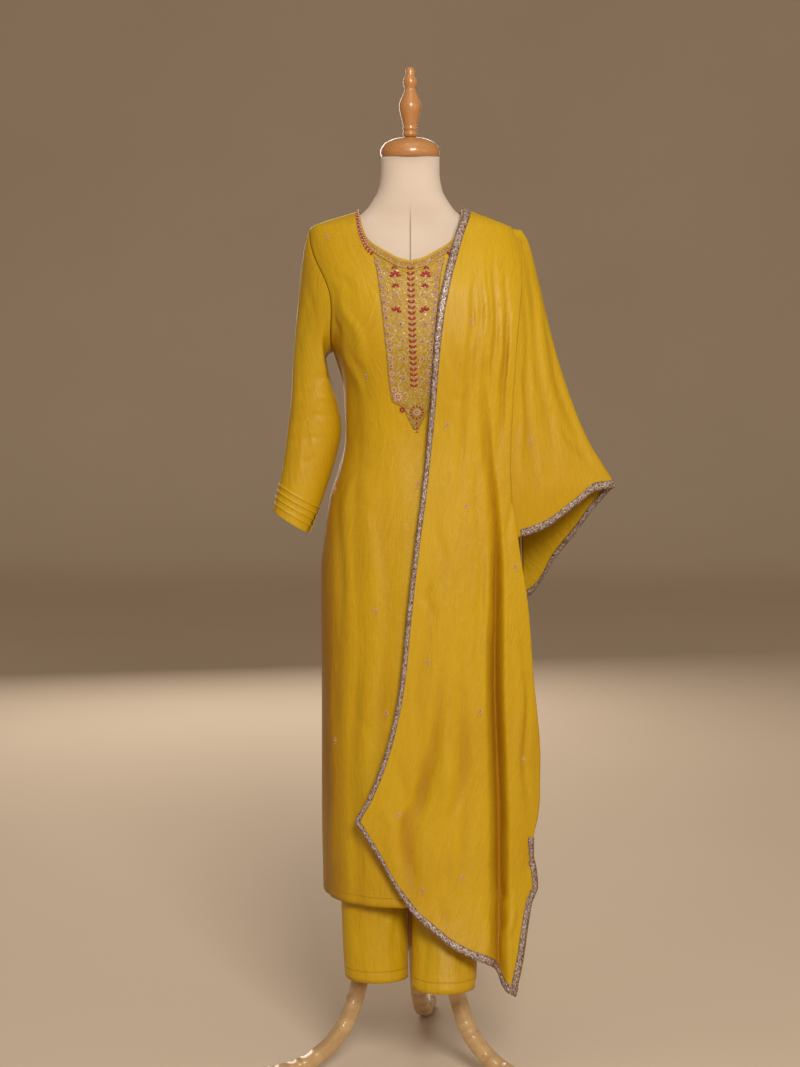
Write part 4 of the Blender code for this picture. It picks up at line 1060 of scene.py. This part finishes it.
@once
def cotton_finish(name):
    """Cream cotton jersey of the form, with its seam down the centre."""
    cotton = settings().cotton
    finish = Finish(name, Specular_IOR_Level=0.25, Sheen_Weight=0.25, Sheen_Roughness=0.6)
    place = finish.place()
    x, _, z = finish.axes(place)
    knit = finish.mottle(finish.stretched(place, (1300, 1300, 820)), detail=2.0)
    cloud = finish.mottle(place, 14.0, 3.0)
    groove = (1 - abs(x - AXIS.x).between(0.0003, 0.0015)) * (1 - z.between(1.440, 1.490))
    colour = finish.mix(cloud.between(0.35, 0.70) * 0.35, cotton, tinted(cotton, 0.86))
    colour = finish.mix(knit.between(0.45, 0.75) * 0.18, colour, tinted(cotton, 0.70))
    colour = finish.mix(groove * 0.80, colour, tinted(cotton, 0.30))
    # Painted shade on the cover just under the neck cap, darker towards the cap
    colour = finish.mix(z.between(1.545, 1.562) * 0.25, colour, tinted(cotton, 0.6))
    finish.set(
        Base_Color=colour, Roughness=0.80 + knit * 0.15,
        Normal=finish.relief(knit * 0.6 - groove * 2.2, 0.0007, 0.6))
    return finish.material


@once
def wood_finish(name, wood, turn=0.0, tilt=0.0):
    """Honey coloured beech with fine grain and flecks, under varnish."""
    finish = Finish(name, Specular_IOR_Level=0.5, Coat_Roughness=0.12, Coat_IOR=1.5)
    place = finish.place()
    centred = finish.node("ShaderNodeMapping", {"Vector": place, "Location": -AXIS})
    turned = finish.stretched(centred, (1, 1, 1), (0.0, tilt, turn))
    grain = finish.mottle(
        finish.stretched(turned, (230, 230, 12)), detail=4.0, roughness=0.6, distortion=0.6)
    rings = finish.mottle(finish.stretched(turned, (45, 45, 4)), detail=2.0, distortion=0.5)
    fleck = finish.mottle(finish.stretched(turned, (900, 900, 110)), detail=1.0)
    colour = finish.mix(rings.between(0.30, 0.75) * 0.35, wood, tinted(wood, 0.78))
    colour = finish.mix(grain.between(0.48, 0.66) * 0.35, colour, tinted(wood, 0.55))
    colour = finish.mix(fleck.between(0.64, 0.72) * 0.30, colour, tinted(wood, 0.40))
    wear = finish.mottle(place, 40.0, 3.0)
    finish.set(
        Base_Color=colour, Roughness=0.34 + grain * 0.16, Coat_Weight=0.55 + wear * 0.35,
        Normal=finish.relief(grain + fleck * 0.4, 0.0004, 0.25))
    return finish.material


def finished(bm, name, material, slot, replaced=()):
    """A piece from its mesh: placed at the pole, smooth, riding on the root."""
    bmesh.ops.translate(bm, verts=bm.verts, vec=AXIS)
    mesh = bpy.data.meshes.new(name)
    bm.to_mesh(mesh)
    bm.free()
    mesh.shade_smooth()
    piece = bpy.data.objects.new(name, mesh)
    bpy.context.scene.collection.objects.link(piece)
    mesh.materials.append(material)
    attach(piece, "root")
    if replaced:
        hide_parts(*replaced)
    return piece


def lattice_mesh(columns, rows, surface, cut, closed=False, hollow=None):
    """A grid laid on a surface of (u, v), with its cut as its UV map."""
    bm = bmesh.new()
    bmesh.ops.create_grid(bm, x_segments=columns, y_segments=rows, size=0.5)
    uv = bm.loops.layers.uv.new("Cut")
    # How deep each point lies in a fold, kept for the shade painted into the silk's folds
    fold = bm.verts.layers.float.new("FoldShade")
    shares = {}
    for vert in bm.verts:
        u = round((vert.co.x + 0.5) * columns) / columns
        v = round((vert.co.y + 0.5) * rows) / rows
        shares[vert.index] = (u, v)
        vert.co = surface(u, v)
        if hollow is not None:
            vert[fold] = hollow[round(u * columns), round(v * rows)]
    for face in bm.faces:
        for loop in face.loops:
            loop[uv].uv = cut(*shares[loop.vert.index])
    if closed:
        bmesh.ops.remove_doubles(bm, verts=bm.verts, dist=0.00001)
    return bm


def shell(piece, wall, side=-1):
    solidify = piece.modifiers.new("Wall", "SOLIDIFY")
    solidify.thickness = wall
    solidify.offset = side
    solidify.use_even_offset = False
    return piece


def sew(name, material, closed=False, side=-1):
    """A stretch of cloth as a thin shell in place of its solid."""
    cloth = cloth_of(name)

    def cut(u, v):
        return cloth.at(cloth.across, u, v), cloth.at(cloth.up, u, v)

    bm = lattice_mesh(cloth.columns, cloth.rows, cloth.over, cut, closed, cloth.hollow())
    piece = finished(bm, name + "_cloth", material, "silk", (name,))
    return shell(piece, SHELL, side)


class Needle:
    """One thread's stitches, gathered into one mesh."""

    def __init__(self):
        bead = bmesh.new()
        bmesh.ops.create_uvsphere(bead, u_segments=6, v_segments=4, radius=0.5)
        self.bead = bpy.data.meshes.new("bead")
        bead.to_mesh(self.bead)
        bead.free()
        self.bm = bmesh.new()

    def stitch(self, stand, length, width, height, turn=0.0, reach=0.0, side=0.0, rise=0.0):
        """A domed stitch: turned in the cloth's plane, and moved along it."""
        here = (
            stand
            @ Matrix.Translation((side, rise, 0.0))
            @ Matrix.Rotation(turn, 4, "Z")
            @ Matrix.Translation((0.0, reach, 0.0))
            @ Matrix.Diagonal((width, length, height, 1.0))
        )
        one = self.bead.copy()
        one.transform(here)
        self.bm.from_mesh(one, face_normals=False, vertex_normals=False)
        bpy.data.meshes.remove(one)

    def flower(self, stand, petals, radius, width, height, turn=0.0):
        for k in range(petals):
            self.stitch(
                stand, radius * 0.72, width, height, turn + math.tau * k / petals, radius * 0.62)


class SUIT_OT_form(bpy.types.Operator):
    """Covers the padded body of the dress form in cream cotton"""

    bl_idname = "suit.form"
    bl_label = "Form"

    def execute(self, context):
        bm = lattice_mesh(144, 150, form_body, lambda u, v: (u, v), closed=True)
        rims = [edge for edge in bm.edges if edge.is_boundary]
        bmesh.ops.holes_fill(bm, edges=rims, sides=0)
        bmesh.ops.recalc_face_normals(bm, faces=bm.faces)
        body = finished(bm, "form_cover", cotton_finish("form_cotton"), "linen", ("form_torso",))
        return {"FINISHED"}


def turned_piece(name, profile, steps, material, node):
    """A turned piece of wood, spun about the pole."""
    bm = bmesh.new()
    ring = [bm.verts.new((radius, 0.0, height)) for radius, height in profile]
    edges = [bm.edges.new(pair) for pair in zip(ring, ring[1:])]
    bmesh.ops.spin(
        bm, geom=ring + edges, cent=(0, 0, 0), axis=(0, 0, 1), angle=math.tau, steps=steps,
        use_merge=True)
    bmesh.ops.remove_doubles(bm, verts=bm.verts, dist=0.00002)
    bmesh.ops.recalc_face_normals(bm, faces=bm.faces)
    return finished(bm, name, material, "wood", (node,))


def bent_leg(name, turn, material):
    """A bent leg: a rounded square drawn along its line, flat where it stands."""
    out = Vector((math.cos(turn), math.sin(turn), 0.0))
    side = Vector((-out.y, out.x, 0.0))
    line = []
    for (r0, z0), (r1, z1) in zip(LEG_LINE, LEG_LINE[1:]):
        line += [(r0 + (r1 - r0) * k / 3, z0 + (z1 - z0) * k / 3) for k in range(3)]
    line.append(LEG_LINE[-1])
    for _ in range(2):
        middle = [
            tuple(0.25 * a + 0.5 * b + 0.25 * c for a, b, c in zip(*three))
            for three in zip(line, line[1:], line[2:])
        ]
        line = [line[0], *middle, line[-1]]
    bm = bmesh.new()
    start = bmesh.ops.create_circle(bm, cap_ends=True, segments=20, radius=0.5)["verts"]

    def squared(part):
        return math.copysign(abs(2 * part) ** LEG_ROUNDNESS, part)

    shape = [Vector([squared(part) for part in vert.co[:2]]) * 0.5 for vert in start]

    def set_ring(ring, index):
        before, after = line[max(index - 1, 0)], line[min(index + 1, len(line) - 1)]
        along = Vector((after[0] - before[0], after[1] - before[1])).normalized()
        if index == 0:
            along = Vector((1.0, 0.0))
        for vert, (wide, thick) in zip(ring, shape):
            reach = line[index][0] - along.y * thick * LEG_THICKNESS
            height = line[index][1] + along.x * thick * LEG_THICKNESS
            flat = out * reach + side * wide * LEG_WIDTH
            vert.co = (flat.x, flat.y, max(height, 0.0))

    set_ring(start, 0)
    face = bm.faces[:][0]
    for index in range(1, len(line)):
        made = bmesh.ops.extrude_face_region(bm, geom=[face])
        face = next(item for item in made["geom"] if isinstance(item, bmesh.types.BMFace))
        ring = [vert for vert in made["geom"] if isinstance(vert, bmesh.types.BMVert)]
        set_ring(ring, index)
    bmesh.ops.recalc_face_normals(bm, faces=bm.faces)
    return finished(bm, name + "_wood", material, "wood", (name,))


class SUIT_OT_stand(bpy.types.Operator):
    """Turns and bends the varnished wood: neck cap, finial, pole, hub and three legs"""

    bl_idname = "suit.stand"
    bl_label = "Wood"

    def execute(self, context):
        wood, leg_wood = settings().wood, settings().leg_wood
        cap = wood_finish("cap_wood", wood, 0.0, 1.2)
        turned_piece("neck_cap_wood", NECK_CAP, 64, cap, "form_neck_cap")
        upright = wood_finish("turned_wood", wood)
        turned_piece("finial_wood", FINIAL, 48, upright, "form_finial")
        turned_piece("hub_wood", HUB, 48, upright, "stand_hub")
        low, high = HUB[-1][1] + SEAM_GAP, TORSO[0][0] - SEAM_GAP
        pole = ((0.0, low), (POLE_RADIUS, low), (POLE_RADIUS, high), (0.0, high))
        turned_piece("pole_wood", pole, 40, upright, "stand_pole").data.shade_flat()
        for name, degrees in LEG_TURN.items():
            turn = math.radians(degrees)
            material = wood_finish("leg_wood_" + name, leg_wood, -turn, -0.9)
            bent_leg("stand_leg_" + name, turn, material)
        return {"FINISHED"}


class SUIT_OT_kurta(bpy.types.Operator):
    """Sews the kurta's front, back and pin-tucked sleeves"""

    bl_idname = "suit.kurta"
    bl_label = "Kurta"

    def execute(self, context):
        body = silk_finish("kurta_silk", settings().hem_stitch, KURTA_SHADED_SIDES)
        sew("kurta_front", body)
        sew("kurta_back", body)
        for side in ("right", "left"):
            sew("kurta_sleeve_" + side, silk_finish("sleeve_silk"), closed=True)
        return {"FINISHED"}


class SUIT_OT_trousers(bpy.types.Operator):
    """Sews the straight trousers and their waistband"""

    bl_idname = "suit.trousers"
    bl_label = "Trousers"

    def execute(self, context):
        leg = silk_finish("trouser_silk", settings().hem_stitch + TROUSER_STITCH_EXTRA)
        for side in ("right", "left"):
            sew("trouser_leg_" + side, leg)
        sew("trouser_waistband", silk_finish("sleeve_silk"), closed=True)
        return {"FINISHED"}


class SUIT_OT_dupatta(bpy.types.Operator):
    """Drapes the dupatta: its front fall, its stretch over the arm and its back fall"""

    bl_idname = "suit.dupatta"
    bl_label = "Dupatta"

    def execute(self, context):
        silk = silk_finish("dupatta_silk")
        for name in ("dupatta_front", "dupatta_arm", "dupatta_back"):
            sew(name, silk, side=1)
        return {"FINISHED"}


class SUIT_OT_lace(bpy.types.Operator):
    """Sews the glitter lace along the dupatta's edges"""

    bl_idname = "suit.lace"
    bl_label = "Lace"

    def border(self, name, cloth_name, edge, node, low=0.0, high=1.0, lift=LACE_LIFT):
        """Lace on one edge: first, last or turn for a side, end for the lower end."""
        cloth = cloth_of(cloth_name)
        at_end = edge == "end"
        last = round(TURN_SHARE * cloth.columns) if edge == "turn" else cloth.columns
        lengths = cloth.across[:, 0] if at_end else cloth.up[0 if edge == "first" else last]

        def steps_to(away, distances):
            return float(np.interp(away, distances, np.arange(len(distances))))

        def inward(run, away):
            """Coordinates on the cloth at a distance in from its edge."""
            if at_end:
                column = min(round(run * cloth.columns), cloth.columns)
                return run, steps_to(away, cloth.up[column]) / cloth.rows
            widths = cloth.across[:, min(round(run * cloth.rows), cloth.rows)]
            if edge != "first":
                away = widths[last] - away
            return steps_to(away, widths) / cloth.columns, run

        def run_of(u):
            """Share of the edge, and the length of edge up to there."""
            run = low + (high - low) * u
            step = run * (len(lengths) - 1)
            return run, float(np.interp(step, np.arange(len(lengths)), lengths))

        def surface(u, v):
            run, length = run_of(u)
            here = cloth.over(*inward(run, LACE_WIDTH * v), lift)
            if v > 0.0:
                return here
            out = here - cloth.over(*inward(run, LACE_WIDTH / LACE_STEPS), lift)
            picot = PICOT_HEIGHT * abs(math.sin(math.pi * length / PICOT_LENGTH))
            return here + out.normalized() * picot

        def cut(u, v):
            return run_of(u)[1], LACE_WIDTH * v

        bm = lattice_mesh(200 if at_end else 260, LACE_STEPS, surface, cut)
        lace = lace_finish("glitter_lace")
        shell(finished(bm, name, lace, "lace", (node,) if node else ()), LACE_WALL, 0)

    def execute(self, context):
        for place in (
            ("lace_inner", "dupatta_front", "first", "dupatta_lace_inner", 0.004, 0.985),
            ("lace_end", "dupatta_front", "end", "dupatta_lace_end"),
            ("lace_turned_edge", "dupatta_front", "turn", None, 0.0, 0.13),
            ("lace_arm", "dupatta_arm", "end", "dupatta_lace_arm", 0.03),
            ("lace_arm_inside", "dupatta_arm", "end", None, 0.03, 1.0, -0.5 * LACE_LIFT),
            ("lace_back_inner", "dupatta_back", "last", "dupatta_lace_back_inner", 0.004, 0.97),
            ("lace_back_end", "dupatta_back", "end", "dupatta_lace_back_end"),
        ):
            self.border(*place)
        return {"FINISHED"}


class SUIT_OT_embroidery(bpy.types.Operator):
    """Works the neck band and the yoke: stitched ground, leaves, rosettes and mirrors"""

    bl_idname = "suit.embroidery"
    bl_label = "Embroidery"

    def along_neck(self, cloth, seam, reach, lift):
        """A strip that follows a neckline from a reach below it up to v's end."""
        def surface(u, v):
            across = seam + (1 - 2 * seam) * u
            return cloth.over(across, cloth.below_top(across, reach(v)), lift(v))
        return surface

    def ground(self, cloth):
        def yoke(u, v):
            level = YOKE[0][0] + (YOKE[-1][0] - YOKE[0][0]) * v
            left, right = read(YOKE, level, 1), read(YOKE, level, 2)
            x = left + (right - left) * u
            top = read(NECKLINE, abs(x), 1) - NECK_BAND_WIDTH + YOKE_OVERLAP
            height = YOKE[0][0] + (top - YOKE[0][0]) * v
            return cloth.over(*cloth.find(x, height), WORK_LIFT)

        def piped(v):
            return PIPING_WIDTH * (1 - v)

        def roll(v):
            return 0.0005 + 0.0010 * math.sin(math.pi * v)

        front = (cloth, FRONT_SEAM_SHARE)
        back = (cloth_of("kurta_back"), BACK_SEAM_SHARE)
        band = self.along_neck(
            *front, lambda v: BAND_REACH - (BAND_REACH - PIPING_WIDTH) * v, lambda v: WORK_LIFT)
        stitched, silk = stitched_ground_finish("stitched_ground"), silk_finish("piping_silk")
        for name, columns, rows, surface, corner, size, material, slot, replaced in (
            ("neck_band_work", 96, 8, band, 0.0, (0.30, 0.0123), stitched, "embroidery",
             ("kurta_neck_band",)),
            ("neck_piping", 96, 4, self.along_neck(*front, piped, roll), 0.0,
             (0.30, PIPING_WIDTH), silk, "silk", ()),
            ("back_neck_piping", 72, 4, self.along_neck(*back, piped, roll), 0.0,
             (0.20, PIPING_WIDTH), silk, "silk", ()),
            ("yoke_work", 32, 80, yoke, 0.5, (0.09, 0.27), stitched, "embroidery",
             ("kurta_yoke",)),
        ):
            def cut(u, v):
                return corner + size[0] * u, size[1] * v
            strip = lattice_mesh(columns, rows, surface, cut)
            shell(finished(strip, name, material, slot, replaced), STRIP_WALL, 1)

    def leaf_column(self, on_yoke, red, rose, gold):
        """Paired leaves down the centre of the yoke."""
        for k in range(22):
            stand = on_yoke(0.0062 * k / 21, 1.3755 - 0.1905 * k / 21)
            for side in (-1, 1):
                red.stitch(stand, 0.0082, 0.004, 0.0026, -0.9 * side, 0.0, 0.0033 * side)
                rose.stitch(
                    stand, 0.005, 0.0013, 0.002, -0.9 * side, 0.0, 0.003 * side, 0.0036)
            gold.stitch(stand, 0.0016, 0.0016, 0.0016, 0.0, 0.0, 0.0, -0.003)

    def blossoms(self, on_yoke, side, red, rose, mirror):
        """Red blossoms and small rosettes on one side of the leaves."""
        for x, z, size in ((0.0262, 1.3745, 0.9), (0.025, 1.3625, 1.65), (0.024, 1.345, 1.1)):
            stand = on_yoke(side * x, z)
            for turn in (-1.5, -0.75, 0.0, 0.75, 1.5):
                red.stitch(stand, 0.0052 * size, 0.0027 * size, 0.002, turn, 0.0034 * size)
            rose.stitch(stand, 0.003 * size, 0.0026 * size, 0.0026)
        rose.flower(on_yoke(side * 0.0242, 1.332), 6, 0.0052, 0.0019, 0.0016)
        stand = on_yoke(side * 0.0235, 1.305)
        for turn in (-1.2, -0.4, 0.4, 1.2):
            red.stitch(stand, 0.0078, 0.0044, 0.0024, turn + side * 0.3, 0.0056)
        rose.stitch(stand, 0.0024, 0.0024, 0.0026)
        for x, z in ((0.016, 1.258), (0.015, 1.229), (0.0145, 1.196), (0.02, 1.285)):
            stand = on_yoke(side * x + 0.004, z)
            rose.flower(stand, 8, 0.0042, 0.0018, 0.0016)
            mirror.stitch(stand, 0.0026, 0.0026, 0.002)

    def outer_column(self, on_yoke, side, rose, gold, mirror):
        """Rosettes and ringed mirrors in turn down one edge of the yoke."""
        for k in range(17):
            z = 1.386 - 0.208 * k / 16
            edge = read(YOKE, z, 1 if side < 0 else 2)
            stand = on_yoke(edge - side * COLUMN_INSET, z)
            if k % 2 == 0:
                rose.flower(stand, 8, 0.0058, 0.0026, 0.002)
                gold.stitch(stand, 0.0026, 0.0026, 0.0024)
            else:
                rose.flower(stand, 10, 0.0042, 0.0016, 0.0018)
                mirror.stitch(stand, 0.0036, 0.0036, 0.002)

    def medallion(self, on_yoke, red, rose, gold):
        """The rosette at the yoke's corner, the medallion, its point and a small blossom."""
        stand = on_yoke(-0.0205, 1.166)
        rose.flower(stand, 9, 0.0088, 0.0036, 0.0022)
        gold.stitch(stand, 0.004, 0.004, 0.0026)
        stand = on_yoke(0.0105, 1.1405)
        rose.flower(stand, 10, 0.0072, 0.0026, 0.0022)
        gold.stitch(stand, 0.004, 0.004, 0.0028)
        for k in range(12):
            red.stitch(stand, 0.0042, 0.003, 0.0022, math.tau * k / 12, 0.01)
        for z, size in ((1.1225, 1.0), (1.115, 0.8), (1.1085, 0.6)):
            stand = on_yoke(0.0108, z)
            red.stitch(stand, 0.0046 * size, 0.003 * size, 0.002)
            for side in (-1, 1):
                rose.stitch(
                    stand, 0.0038 * size, 0.0018, 0.0016, 0.7 * side, 0.0, 0.0034 * size * side)
        stand = on_yoke(-0.013, 1.145)
        red.flower(stand, 6, 0.0054, 0.003, 0.0022)
        rose.stitch(stand, 0.0022, 0.0022, 0.0026)

    def neck_rows(self, cloth, red, rose, gold):
        """Rows of stitches that follow the neckline, and the leaves along its outer edge."""
        def spaced(distance, step):
            """Places at an even step along a line that follows the neckline."""
            line, last = [], None
            start, samples = FRONT_SEAM_SHARE + 0.004, 800
            for k in range(samples + 1):
                across = start + (1 - 2 * start) * k / samples
                up = cloth.below_top(across, distance)
                here = cloth.over(across, up)
                if last is None or (here - last).length >= step:
                    line.append((across, up, here))
                    last = here
            return line

        for distance, turn in ((0.0064, 0.7), (0.0138, -0.7)):
            for across, up, _ in spaced(distance, 0.005):
                rose.stitch(cloth.place(across, up, ROW_LIFT), 0.0038, 0.0019, 0.0022, turn)
        for across, up, _ in spaced(0.0101, 0.0056):
            gold.stitch(cloth.place(across, up, ROW_LIFT), 0.0022, 0.0022, 0.0024)
        for across, up, here in spaced(0.0205, 0.0068):
            if abs(here.x) < LEAF_FREE:
                continue
            side = 1 if here.x > 0 else -1
            stand = cloth.place(across, up, LEAF_LIFT)
            red.stitch(stand, 0.0084, 0.0046, 0.0028, 0.6 * side)
            rose.stitch(stand, 0.0054, 0.0024, 0.0022, -0.9 * side, 0.0, 0.0024 * side, 0.0034)

    def execute(self, context):
        cloth = cloth_of("kurta_front")
        self.ground(cloth)
        red, rose, gold, mirror = Needle(), Needle(), Needle(), Needle()

        def on_yoke(x, z):
            return cloth.place(*cloth.find(x, z), STITCH_LIFT)

        self.leaf_column(on_yoke, red, rose, gold)
        for side in (-1, 1):
            self.blossoms(on_yoke, side, red, rose, mirror)
            self.outer_column(on_yoke, side, rose, gold, mirror)
        self.medallion(on_yoke, red, rose, gold)
        self.neck_rows(cloth, red, rose, gold)
        for name, needle, material in (
            ("leaf_stitches", red, thread_finish("red_thread", settings().red_thread)),
            ("rosette_stitches", rose,
             thread_finish("rose_thread", settings().rose_thread, 0.08)),
            ("gold_knots", gold, thread_finish("gold_thread", (0.74, 0.5, 0.2), 0.55, 0.3)),
            ("mirror_chips", mirror, mirror_finish("mirror_chip")),
        ):
            finished(needle.bm, name, material, "embroidery")
        return {"FINISHED"}


class SUIT_OT_sprigs(bpy.types.Operator):
    """Scatters small embroidered sprigs over the kurta and the dupatta"""

    bl_idname = "suit.sprigs"
    bl_label = "Sprigs"

    def execute(self, context):
        rose, gold = Needle(), Needle()
        for name, places, lift in (
            ("kurta_front", KURTA_SPRIGS, 0.0004), ("kurta_back", BACK_SPRIGS, 0.0004),
            ("dupatta_front", FALL_SPRIGS, 0.0012), ("dupatta_arm", ARM_SPRIGS, 0.0012),
            ("dupatta_back", BACK_FALL_SPRIGS, 0.0012),
        ):
            cloth = cloth_of(name)
            for x, z in places:
                stand = cloth.place(*cloth.find(x, z), lift)
                rose.flower(stand, 5, 0.0046, 0.0028, 0.0015, 31.0 * x)
                gold.stitch(stand, 0.0022, 0.0022, 0.0018)
                for side in (-1, 1):
                    gold.stitch(
                        stand, 0.004, 0.0014, 0.0012, 0.6 * side, 0.0, 0.002 * side, -0.0078)
        petals = thread_finish("sprig_rose", (0.72, 0.42, 0.26), 0.1)
        leaves = thread_finish("sprig_gold", (0.7, 0.46, 0.16), 0.4, 0.34)
        finished(rose.bm, "sprig_petals", petals, "embroidery")
        finished(gold.bm, "sprig_leaves", leaves, "embroidery")
        return {"FINISHED"}


class SUIT_OT_declare(bpy.types.Operator):
    """Takes no step: the cut of each sheet of cloth and what it hangs on are not stated"""

    bl_idname = "suit.declare"
    bl_label = "Cuts"

    def execute(self, context):
        return {"FINISHED"}


class SUIT_OT_stage(bpy.types.Operator):
    """Sets the pale floor, the soft studio light and the camera"""

    bl_idname = "suit.stage"
    bl_label = "Stage"

    def execute(self, context):
        bm = bmesh.new()
        bmesh.ops.create_grid(bm, x_segments=1, y_segments=60, size=12.0)
        for vert in bm.verts:
            past = vert.co.y - PAPER_FLAT
            if past > 0.0:
                bend = min(past / PAPER_BEND, 1.0)
                rise = max(past - PAPER_BEND, 0.0) + bend * bend
                vert.co = (vert.co.x, PAPER_FLAT + 0.8 * PAPER_BEND * bend, 2.0 * rise)
        mesh = bpy.data.meshes.new("floor")
        bm.to_mesh(mesh)
        bm.free()
        mesh.shade_smooth()
        floor = bpy.data.objects.new("floor", mesh)
        context.scene.collection.objects.link(floor)
        finish = Finish("floor_paper", Specular_IOR_Level=0.2)
        tone = finish.mottle(finish.place(), 0.9, 3.0)
        finish.set(
            Base_Color=finish.mix(tone, (0.64, 0.53, 0.41), (0.72, 0.60, 0.47)),
            Roughness=0.85 + 0.05 * tone)
        mesh.materials.append(finish.material)
        for name, place, size, power, colour in (
            ("key", (0.60, -3.5, 2.7), 1.2, 104.0, (1.0, 0.95, 0.87)),
            ("left", (-2.6, -1.6, 1.9), 1.8, 3.0, (1.0, 0.90, 0.78)),
            ("right", (2.7, -1.4, 1.7), 1.8, 8.0, (1.0, 0.88, 0.74)),
            ("top", (0.1, -0.8, 3.6), 1.6, 9.0, (1.0, 0.95, 0.88)),
            ("back", (-0.6, 3.4, 1.7), 2.0, 44.0, (1.0, 0.93, 0.84)),
        ):
            light = bpy.data.lights.new(name, "AREA")
            light.size, light.energy, light.color = size, power, colour
            lamp = bpy.data.objects.new(name, light)
            lamp.location = place
            aim = Vector(LIGHTS_AIM) - Vector(place)
            lamp.rotation_euler = aim.to_track_quat("-Z", "Y").to_euler()
            context.scene.collection.objects.link(lamp)
        world = bpy.data.worlds.new("studio")
        world.use_nodes = True
        sky = world.node_tree.nodes["Background"].inputs
        sky["Color"].default_value, sky["Strength"].default_value = (1.0, 0.80, 0.62, 1.0), 0.25
        context.scene.world = world
        view = bpy.data.cameras.new("camera")
        view.sensor_width, view.lens = CAMERA_SENSOR, CAMERA_LENS
        camera = bpy.data.objects.new("camera", view)
        camera.location = Vector(CAMERA_PLACE) + AXIS
        camera.rotation_euler = (CAMERA_TILT, 0.0, 0.0)
        context.scene.collection.objects.link(camera)
        context.scene.camera = camera
        context.scene.view_settings.view_transform = "Standard"
        return {"FINISHED"}


OPERATORS = (
    SUIT_OT_form, SUIT_OT_stand, SUIT_OT_kurta, SUIT_OT_trousers, SUIT_OT_dupatta, SUIT_OT_lace,
    SUIT_OT_embroidery, SUIT_OT_sprigs, SUIT_OT_declare, SUIT_OT_stage,
)


class SUIT_PT_panel(bpy.types.Panel):
    """Lists the suit's pieces"""

    bl_idname = "SUIT_PT_panel"
    bl_label = "Salwar Kameez Suit"
    bl_space_type = "VIEW_3D"
    bl_region_type = "UI"
    bl_category = "Suit"

    def draw(self, context):
        for key in SuitSettings.__annotations__:
            self.layout.prop(context.scene.suit, key)
        for operator in OPERATORS:
            self.layout.operator(operator.bl_idname)


def register():
    for made in (SuitSettings, *OPERATORS, SUIT_PT_panel):
        bpy.utils.register_class(made)
    bpy.types.Scene.suit = bpy.props.PointerProperty(type=SuitSettings)


def unregister():
    del bpy.types.Scene.suit
    for made in (SUIT_PT_panel, *reversed(OPERATORS), SuitSettings):
        bpy.utils.unregister_class(made)


def main():
    register()
    for operator in OPERATORS:
        group, name = operator.bl_idname.split(".")
        getattr(getattr(bpy.ops, group), name)()
    bpy.context.view_layer.update()


if __name__ == "__main__":
    main()
